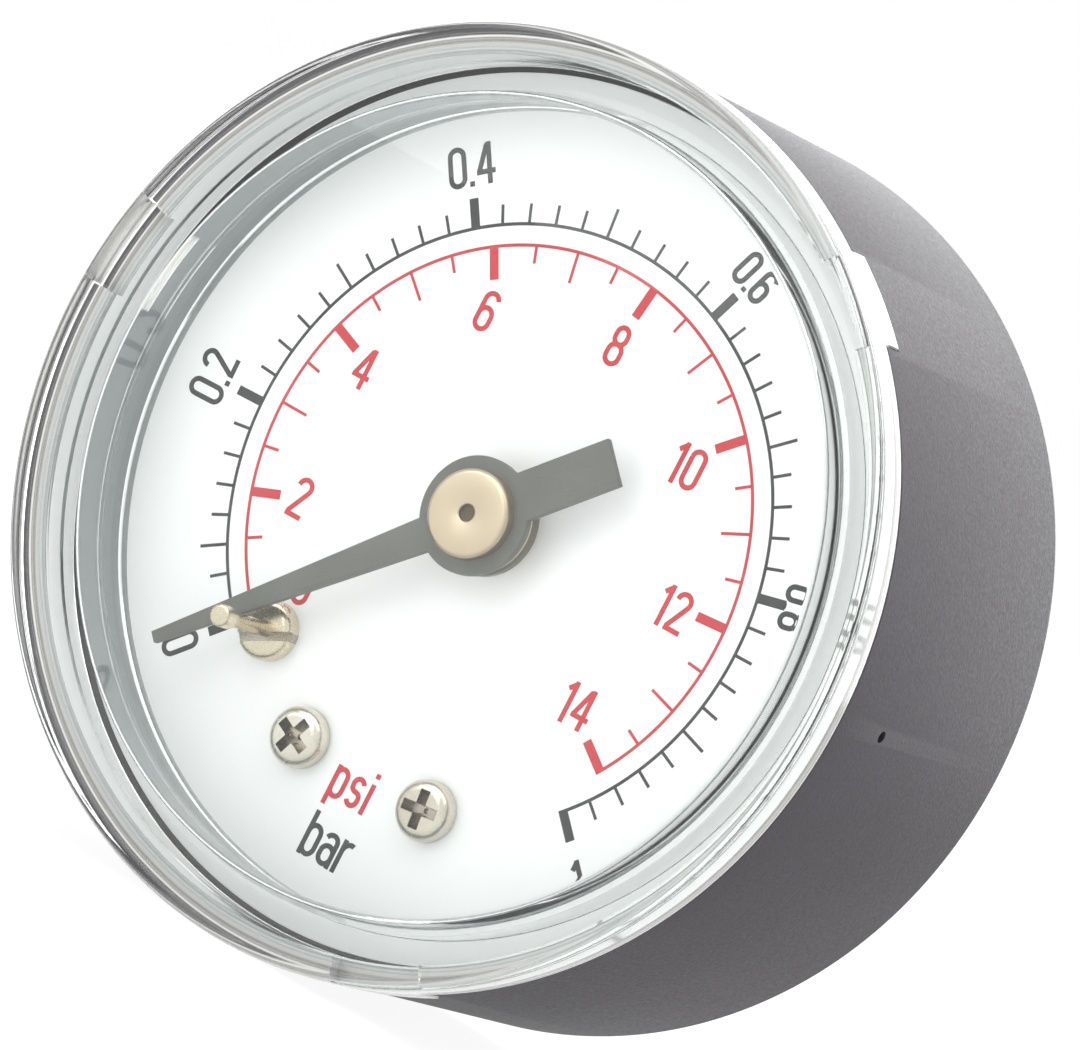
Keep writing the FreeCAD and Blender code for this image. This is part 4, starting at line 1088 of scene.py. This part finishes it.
def pan_screw(name, head_radius, head_height, shank_radius, length, seat, middle, turn):
    """Screw whose head stands in front of its seat, before it is turned round for the back."""
    front = seat - head_height
    screw = turned(name, [(head_radius, front), (head_radius, seat), (shank_radius, seat),
                          (shank_radius, seat + length)], segments=64)
    soften(screw, on_ring(head_radius, front), head_height * 0.55, 6)
    soften(screw, on_ring(head_radius, seat), head_height * 0.1, 2)
    soften(screw, on_ring(shank_radius, seat + length), shank_radius * 0.3, 2)
    screw.location = (middle[0], 0, middle[1])
    settle(screw)
    combine(screw, cross_tool(head_radius, head_height * 0.7, turn, front, middle), "DIFFERENCE")
    return mark_recess(screw, lambda centre: math.hypot(centre.x - middle[0], centre.z - middle[1])
                       < 0.75 * head_radius and front + 0.03 * MM < centre.y < seat - 0.01 * MM)


# %% Screws of the dial
DIAL_SCREW_HEAD = 1.65 * MM
DIAL_SCREW_SHANK = 1.0 * MM
SCREW_TURNS = (24.0, -7.0)
screw_z = screw_low.z + DIAL_SCREW_HEAD
screw_x = screw_high.x - DIAL_SCREW_HEAD
dial_screws = []
for side, turn in zip((-1, 1), SCREW_TURNS):
    dial_screws.append(pan_screw("dial_screw", DIAL_SCREW_HEAD, dial_face - screw_low.y, DIAL_SCREW_SHANK,
                                 screw_high.y - dial_face, dial_face, (side * screw_x, screw_z), turn))
screw_pair = joined("dial_screw_pair", dial_screws)
screw_finish = metal("nickel_plate", *NICKEL, 0.22, grain_depth=0.003, recess_shade=RECESS_SHADE)
place_piece(screw_pair, screw_finish, "housing", "plated_screw", "dial_screws")

# %% Screws behind the case
REAR_HEAD = 2.3 * MM
REAR_SHANK = 1.25 * MM
rear_head_height = rear_high.y - case_back
rear_screws = []
for side in (-1, 1):
    screw = pan_screw("rear_screw", REAR_HEAD, rear_head_height, REAR_SHANK, case_back - rear_low.y, 0.0,
                      (0.0, 0.0), 20.0 * side)
    screw.rotation_euler = (0, 0, math.radians(180))
    screw.location = (side * REAR_SCREW_X, case_back, 0)
    rear_screws.append(settle(screw))
rear_pair = joined("case_screw_pair", rear_screws)
place_piece(rear_pair, screw_finish, "housing", "plated_screw", "case_screws")

# %% Stop post
STOP_FOOT = 1.65 * MM
STOP_PIN = 0.6 * MM
STOP_FOOT_HEIGHT = 1.1 * MM
STOP_SHAFT = 0.42 * MM
STOP_TIP_LENGTH = 1.0 * MM
STOP_SLOT = (0.5 * MM, 0.5 * MM)
STOP_SLOT_TURN = 64.0
STOP_SLOT_SHIFT = 0.45 * MM
stop_middle = ((stop_low.x + stop_high.x) / 2, (stop_low.z + stop_high.z) / 2)
foot_front = dial_face - STOP_FOOT_HEIGHT
foot = turned("stop_foot", [(STOP_FOOT, foot_front), (STOP_FOOT, dial_face), (DIAL_SCREW_SHANK, dial_face),
                            (DIAL_SCREW_SHANK, stop_high.y)], segments=64)
soften(foot, on_ring(STOP_FOOT, foot_front), 0.45 * MM, 5)
start_clean()
bpy.ops.mesh.primitive_cube_add(size=1, location=(0, foot_front, 0))
slot_bar = name_new("slot_bar")
slot_bar.scale = (STOP_SLOT[0], 2 * STOP_SLOT[1], 3 * STOP_FOOT)
slot_bar.location.x = STOP_SLOT_SHIFT
settle(slot_bar)
slot_bar.rotation_euler = (0, math.radians(STOP_SLOT_TURN), 0)
combine(foot, settle(slot_bar), "DIFFERENCE")
tip_back = stop_low.y + STOP_TIP_LENGTH
pin = turned("stop_pin", [(STOP_PIN, stop_low.y), (STOP_PIN, tip_back), (STOP_SHAFT, tip_back + STOP_PIN),
                          (STOP_SHAFT, dial_face - 0.1 * MM)], segments=48)
soften(pin, on_ring(STOP_PIN, stop_low.y), 0.16 * MM, 4)
combine(foot, pin, "UNION")
slot_turn = math.radians(STOP_SLOT_TURN)


def in_slot(centre):
    across = centre.x * math.cos(slot_turn) - centre.z * math.sin(slot_turn) - STOP_SLOT_SHIFT
    return abs(across) < STOP_SLOT[0] / 2 + CLOSE and foot_front + 0.03 * MM < centre.y < dial_face


mark_recess(foot, in_slot)
foot.location = (stop_middle[0], 0, stop_middle[1])
foot.name = "stop_pin_and_foot"
settle(foot)
stop_finish = metal("plated_brass", *CREAM_BRASS, 0.24, grain_depth=0.002, recess_shade=RECESS_SHADE)
place_piece(foot, stop_finish, "housing", "plated_brass", "stop_post")

# %% [markdown]
# ## The socket and its thread
# The socket is one brass forging. Inside the case its shape is right as it is, so a copy of the node is
# merged and cut off just past the sealing shoulder. The stem is made again with a real helix: one ridge is
# swept round by the screw modifier, trimmed to a chamfered blank and joined to the core. Body and stem
# have the same radius there, and a boolean is unsure of faces that coincide, so the rings are bridged.

# %% Cut the old stem from a copy of the socket
THREAD_RADIUS = 6.5785 * MM
THREAD_DEPTH = 0.856 * MM
THREAD_PITCH = 1.337 * MM
THREAD_CREST = 0.3 * MM
THREAD_LENGTH = 13.0 * MM
THREAD_RELIEF = 2.2 * MM
SPIGOT_RADIUS = 4.0 * MM
STEM_BORE = 1.6 * MM
CUT_PLANE = 0.5 * MM
STEM_START = 0.9 * MM
stem_end = socket_high.y
root_radius = THREAD_RADIUS - THREAD_DEPTH
start_clean()
old_socket = nodes["socket"]
socket = old_socket.copy()
socket.data = old_socket.data.copy()
bpy.context.scene.collection.objects.link(socket)
socket.name = "socket_forging"
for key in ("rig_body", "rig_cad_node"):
    if key in socket:
        del socket[key]
socket.parent = None
activate(socket)
bpy.ops.mesh.customdata_custom_splitnormals_clear()
outward(socket)
activate(socket)
bpy.ops.object.mode_set(mode="EDIT")
bpy.ops.mesh.select_all(action="SELECT")
bpy.ops.mesh.bisect(plane_co=(0, CUT_PLANE, 0), plane_no=(0, 1, 0), use_fill=False, clear_outer=True)
bpy.ops.object.mode_set(mode="OBJECT")
print("socket cut to", len(socket.data.polygons), "faces")

# %% Sweep the thread
start_clean()
bpy.ops.mesh.primitive_plane_add(size=1, location=(0, 0, 0), rotation=(0, 0, 0))
ridge = name_new("thread_ridge")
flank = (THREAD_PITCH - 2 * THREAD_CREST) / 2
under = root_radius - 0.08 * MM
mesh = ridge.data
corners = ((under, -flank - THREAD_CREST / 2), (under, flank + THREAD_CREST / 2),
           (THREAD_RADIUS, THREAD_CREST / 2), (THREAD_RADIUS, -THREAD_CREST / 2))
order = (0, 1, 3, 2)
for vert, index in zip(mesh.vertices, order):
    vert.co = (corners[index][0], corners[index][1], 0)
ridge.location = (0, THREAD_RELIEF + THREAD_PITCH / 2 - THREAD_PITCH, 0)
settle(ridge)
sweep = ridge.modifiers.new("sweep", "SCREW")
sweep.axis = "Y"
sweep.screw_offset = THREAD_PITCH
sweep.iterations = 10
sweep.steps = 72
sweep.render_steps = 72
sweep.use_merge_vertices = True
sweep.merge_threshold = CLOSE
activate(ridge)
bpy.ops.object.modifier_apply(modifier=sweep.name)
outward(ridge)
print("ridge swept with", len(ridge.data.polygons), "faces")

# %% Trim the thread and join the stem
CHAMFER = 0.75 * MM
blank = turned("thread_blank", [(root_radius - 0.3 * MM, THREAD_RELIEF), (THREAD_RADIUS + 0.01 * MM, THREAD_RELIEF + CHAMFER),
                                (THREAD_RADIUS + 0.01 * MM, THREAD_LENGTH - CHAMFER), (root_radius - 0.1 * MM, THREAD_LENGTH)],
               segments=144)
combine(ridge, blank, "INTERSECT")
core = turned("stem_core", [
    (STEM_BORE, STEM_START), (root_radius, STEM_START), (root_radius, THREAD_LENGTH),
    (SPIGOT_RADIUS, THREAD_LENGTH), (SPIGOT_RADIUS, stem_end), (STEM_BORE, stem_end), (STEM_BORE, STEM_START)],
    hole=True, segments=144)
soften(core, on_ring(SPIGOT_RADIUS, stem_end), 0.4 * MM, 3)
soften(core, on_ring(STEM_BORE, stem_end), 0.25 * MM, 2)
combine(core, ridge, "UNION")
activate(core)
bpy.ops.object.mode_set(mode="EDIT")
pick(core, "faces", lambda corner: corner.y < STEM_START + CLOSE)
bpy.ops.mesh.delete(type="FACE")
bpy.ops.object.mode_set(mode="OBJECT")
print("stem made with", len(core.data.polygons), "faces")


# %% Bridge the body and the stem
def on_joint(radius):
    """Test for a corner on one of the two open rings of a radius, either side of the joint."""
    def test(corner):
        between_planes = min(abs(corner.y - CUT_PLANE), abs(corner.y - STEM_START))
        return between_planes < CLOSE and abs(math.hypot(corner.x, corner.z) - radius) < 0.02 * MM
    return test


socket = joined("socket_forging", [socket, core])
for radius in (root_radius, STEM_BORE):
    activate(socket)
    bpy.ops.object.mode_set(mode="EDIT")
    pick(socket, "edges", on_joint(radius))
    bpy.ops.mesh.bridge_edge_loops()
    bpy.ops.object.mode_set(mode="OBJECT")
outward(socket)
activate(socket)
bpy.ops.object.mode_set(mode="EDIT")
bpy.ops.mesh.select_all(action="SELECT")
bpy.ops.mesh.quads_convert_to_tris(quad_method="BEAUTY", ngon_method="BEAUTY")
bpy.ops.object.mode_set(mode="OBJECT")
print("socket joined with", len(socket.data.polygons), "faces")
socket_finish = metal("socket_brass", *BRASS, 0.4, axis=(0.0, 0.0), ring_depth=0.004)
SOCKET_SMOOTH = math.radians(14)
place_piece(socket, socket_finish, "housing", "brass", "socket", smooth=SOCKET_SMOOTH)
even = socket.modifiers.new("even_normals", "WEIGHTED_NORMAL")
even.keep_sharp = True
activate(socket)
bpy.ops.object.modifier_apply(modifier=even.name)

# %% [markdown]
# ## The movement
# Nothing of the movement shows while the lens is on, and its CAD shapes are right, so those nodes stay.
# Each gets the finish of its own making: rolled plate, turned pins with rings round their own axes,
# cut gears and drawn springs. The pinion is painted dark, as painted shade for its end in the bore of the bush.

# %% Finish the hidden nodes
def axis_of(node):
    low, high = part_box(node)
    return ((low.x + high.x) / 2, (low.z + high.z) / 2)


plate_brass = metal("plate_brass", *BRASS, 0.3, fine=6000, grain_depth=0.004)
gear_brass = metal("gear_brass", *BRASS, 0.22, fine=16000)
pillar_brass = metal("pillar_brass", *BRASS, 0.2, fine=15000, grain_depth=0.003)
spring_bronze = metal("spring_bronze", *BRONZE, 0.28, fine=14000, grain_depth=0.003)
pinion_shade_steel = metal("pinion_steel", *PINION_SHADE_STEEL, 0.4, axis=(0.0, 0.0))
for finish, names in ((plate_brass, ("top_plate", "bottom_plate", "tube_end_piece")),
                      (gear_brass, ("sector_gear", "link")),
                      (pillar_brass, ("pillars", "hairspring_stud", "hairspring_collet")),
                      (spring_bronze, ("bourdon_tube", "hairspring")),
                      (pinion_shade_steel, ("pinion",)),
                      (screw_finish, ("plate_screws", "movement_screws"))):
    for name in names:
        nodes[name].data.materials.clear()
        nodes[name].data.materials.append(finish)
for name in ("sector_arbor", "link_tail_pin", "link_tip_pin"):
    nodes[name].data.materials.clear()
    nodes[name].data.materials.append(metal(name + "_steel", *STEEL, 0.16, axis=axis_of(name)))
nodes["restrictor"].data.materials.clear()
nodes["restrictor"].data.materials.append(metal("restrictor_brass", *BRASS, 0.24, axis=(0.0, 0.0)))
print("finishes in all:", len(bpy.data.materials))

# %% [markdown]
# ## Floor, light and camera
# The photo was taken on white, with soft light from above and a camera to the right of the gauge that was
# tilted, so that the dial looks turned clockwise. The camera is set by the direction to it, its roll, its
# distance from the dial and the point it aims at.

# %% Floor and world
FLOOR_GAP = 0.2 * MM
FLOOR_SIZE = 6.0
start_clean()
bpy.ops.mesh.primitive_plane_add(size=FLOOR_SIZE, location=(0, 0, case_low.z - FLOOR_GAP - 0.1 * MM))
floor = name_new("floor")
floor_finish = Finish("floor_paint", (0.9, 0.9, 0.9, 1), Roughness=0.9)
clouds = floor_finish.group(grain_group, Fine_Scale=400, Slow_Scale=6)
floor_finish.tint(clouds["Slow"], (0.88, 0.88, 0.88, 1))
floor.data.materials.append(floor_finish.material)


def seen_directly(tree):
    """1 for rays from the camera and for those that gloss or glass send on."""
    paths = add(tree, "ShaderNodeLightPath")
    total = paths.outputs["Is Camera Ray"]
    for label in ("Is Glossy Ray", "Is Transmission Ray"):
        most = add(tree, "ShaderNodeMath", operation="MAXIMUM")
        tree.links.new(total, most.inputs[0])
        tree.links.new(paths.outputs[label], most.inputs[1])
        total = most.outputs[0]
    return total


FLOOR_GLOW = 0.88
floor_tree = floor_finish.tree
glow = add(floor_tree, "ShaderNodeEmission", Strength=1.05)
glow_share = add(floor_tree, "ShaderNodeMath", operation="MULTIPLY")
glow_share.inputs[1].default_value = FLOOR_GLOW
floor_tree.links.new(seen_directly(floor_tree), glow_share.inputs[0])
floor_mix = add(floor_tree, "ShaderNodeMixShader")
floor_tree.links.new(glow_share.outputs[0], floor_mix.inputs["Fac"])
floor_tree.links.new(floor_finish.shader.outputs["BSDF"], floor_mix.inputs[1])
floor_tree.links.new(glow.outputs["Emission"], floor_mix.inputs[2])
floor_tree.links.new(floor_mix.outputs["Shader"], floor_tree.nodes["Material Output"].inputs["Surface"])

AMBIENT = 0.62
world = bpy.data.worlds.new("studio")
bpy.context.scene.world = world
world.use_nodes = True
sky = world.node_tree
background = sky.nodes["Background"]
background.inputs["Color"].default_value = (1, 1, 1, 1)
sky.links.new(remap(sky, seen_directly(sky), AMBIENT, 1.0), background.inputs["Strength"])


# %% Lamps
def softbox(name, place, aim, size, power):
    """Square lamp at a place, turned towards a point."""
    start_clean()
    bpy.ops.object.light_add(type="AREA", location=place)
    lamp = bpy.context.object
    lamp.name = name
    lamp.data.size = size
    lamp.data.energy = power
    lamp.rotation_mode = "QUATERNION"
    lamp.rotation_quaternion = (Vector(aim) - Vector(place)).to_track_quat("-Z", "Y")
    return lamp


middle = Vector((0, dial_face, 0))
softbox("lamp_above", (0.12, -0.05, 0.6), middle, 0.8, 3.6)
softbox("lamp_front", (-0.25, -0.55, 0.35), middle, 0.6, 1.8)
softbox("lamp_behind", (-0.02, 0.5, 0.32), middle, 1.2, 11)

# %% Camera
CAMERA_AZIMUTH = 28.364
CAMERA_ELEVATION = 3.408
CAMERA_ROLL = 27.147
CAMERA_DISTANCE = 384.84 * MM
CAMERA_LENS = 247.3
AIM_RIGHT = 2.038 * MM
AIM_UP = 0.029 * MM
azimuth = math.radians(CAMERA_AZIMUTH)
elevation = math.radians(CAMERA_ELEVATION)
back = Vector((math.sin(azimuth) * math.cos(elevation), -math.cos(azimuth) * math.cos(elevation), math.sin(elevation)))
level_right = Vector((math.cos(azimuth), math.sin(azimuth), 0))
level_up = back.cross(level_right)
roll = math.radians(CAMERA_ROLL)
right = level_right * math.cos(roll) + level_up * math.sin(roll)
up = level_up * math.cos(roll) - level_right * math.sin(roll)
camera_data = bpy.data.cameras.new("camera")
camera_data.lens = CAMERA_LENS
camera_data.sensor_width = 36
camera_data.clip_start = 0.01
camera_data.clip_end = 20
camera = bpy.data.objects.new("camera", camera_data)
bpy.context.scene.collection.objects.link(camera)
place = middle + right * AIM_RIGHT + up * AIM_UP + back * CAMERA_DISTANCE
camera.matrix_world = Matrix.Translation(place) @ Matrix((right, up, back)).transposed().to_4x4()
bpy.context.scene.camera = camera
bpy.context.scene.view_settings.view_transform = "Standard"
print("camera at", [round(value / MM, 1) for value in place], "mm")
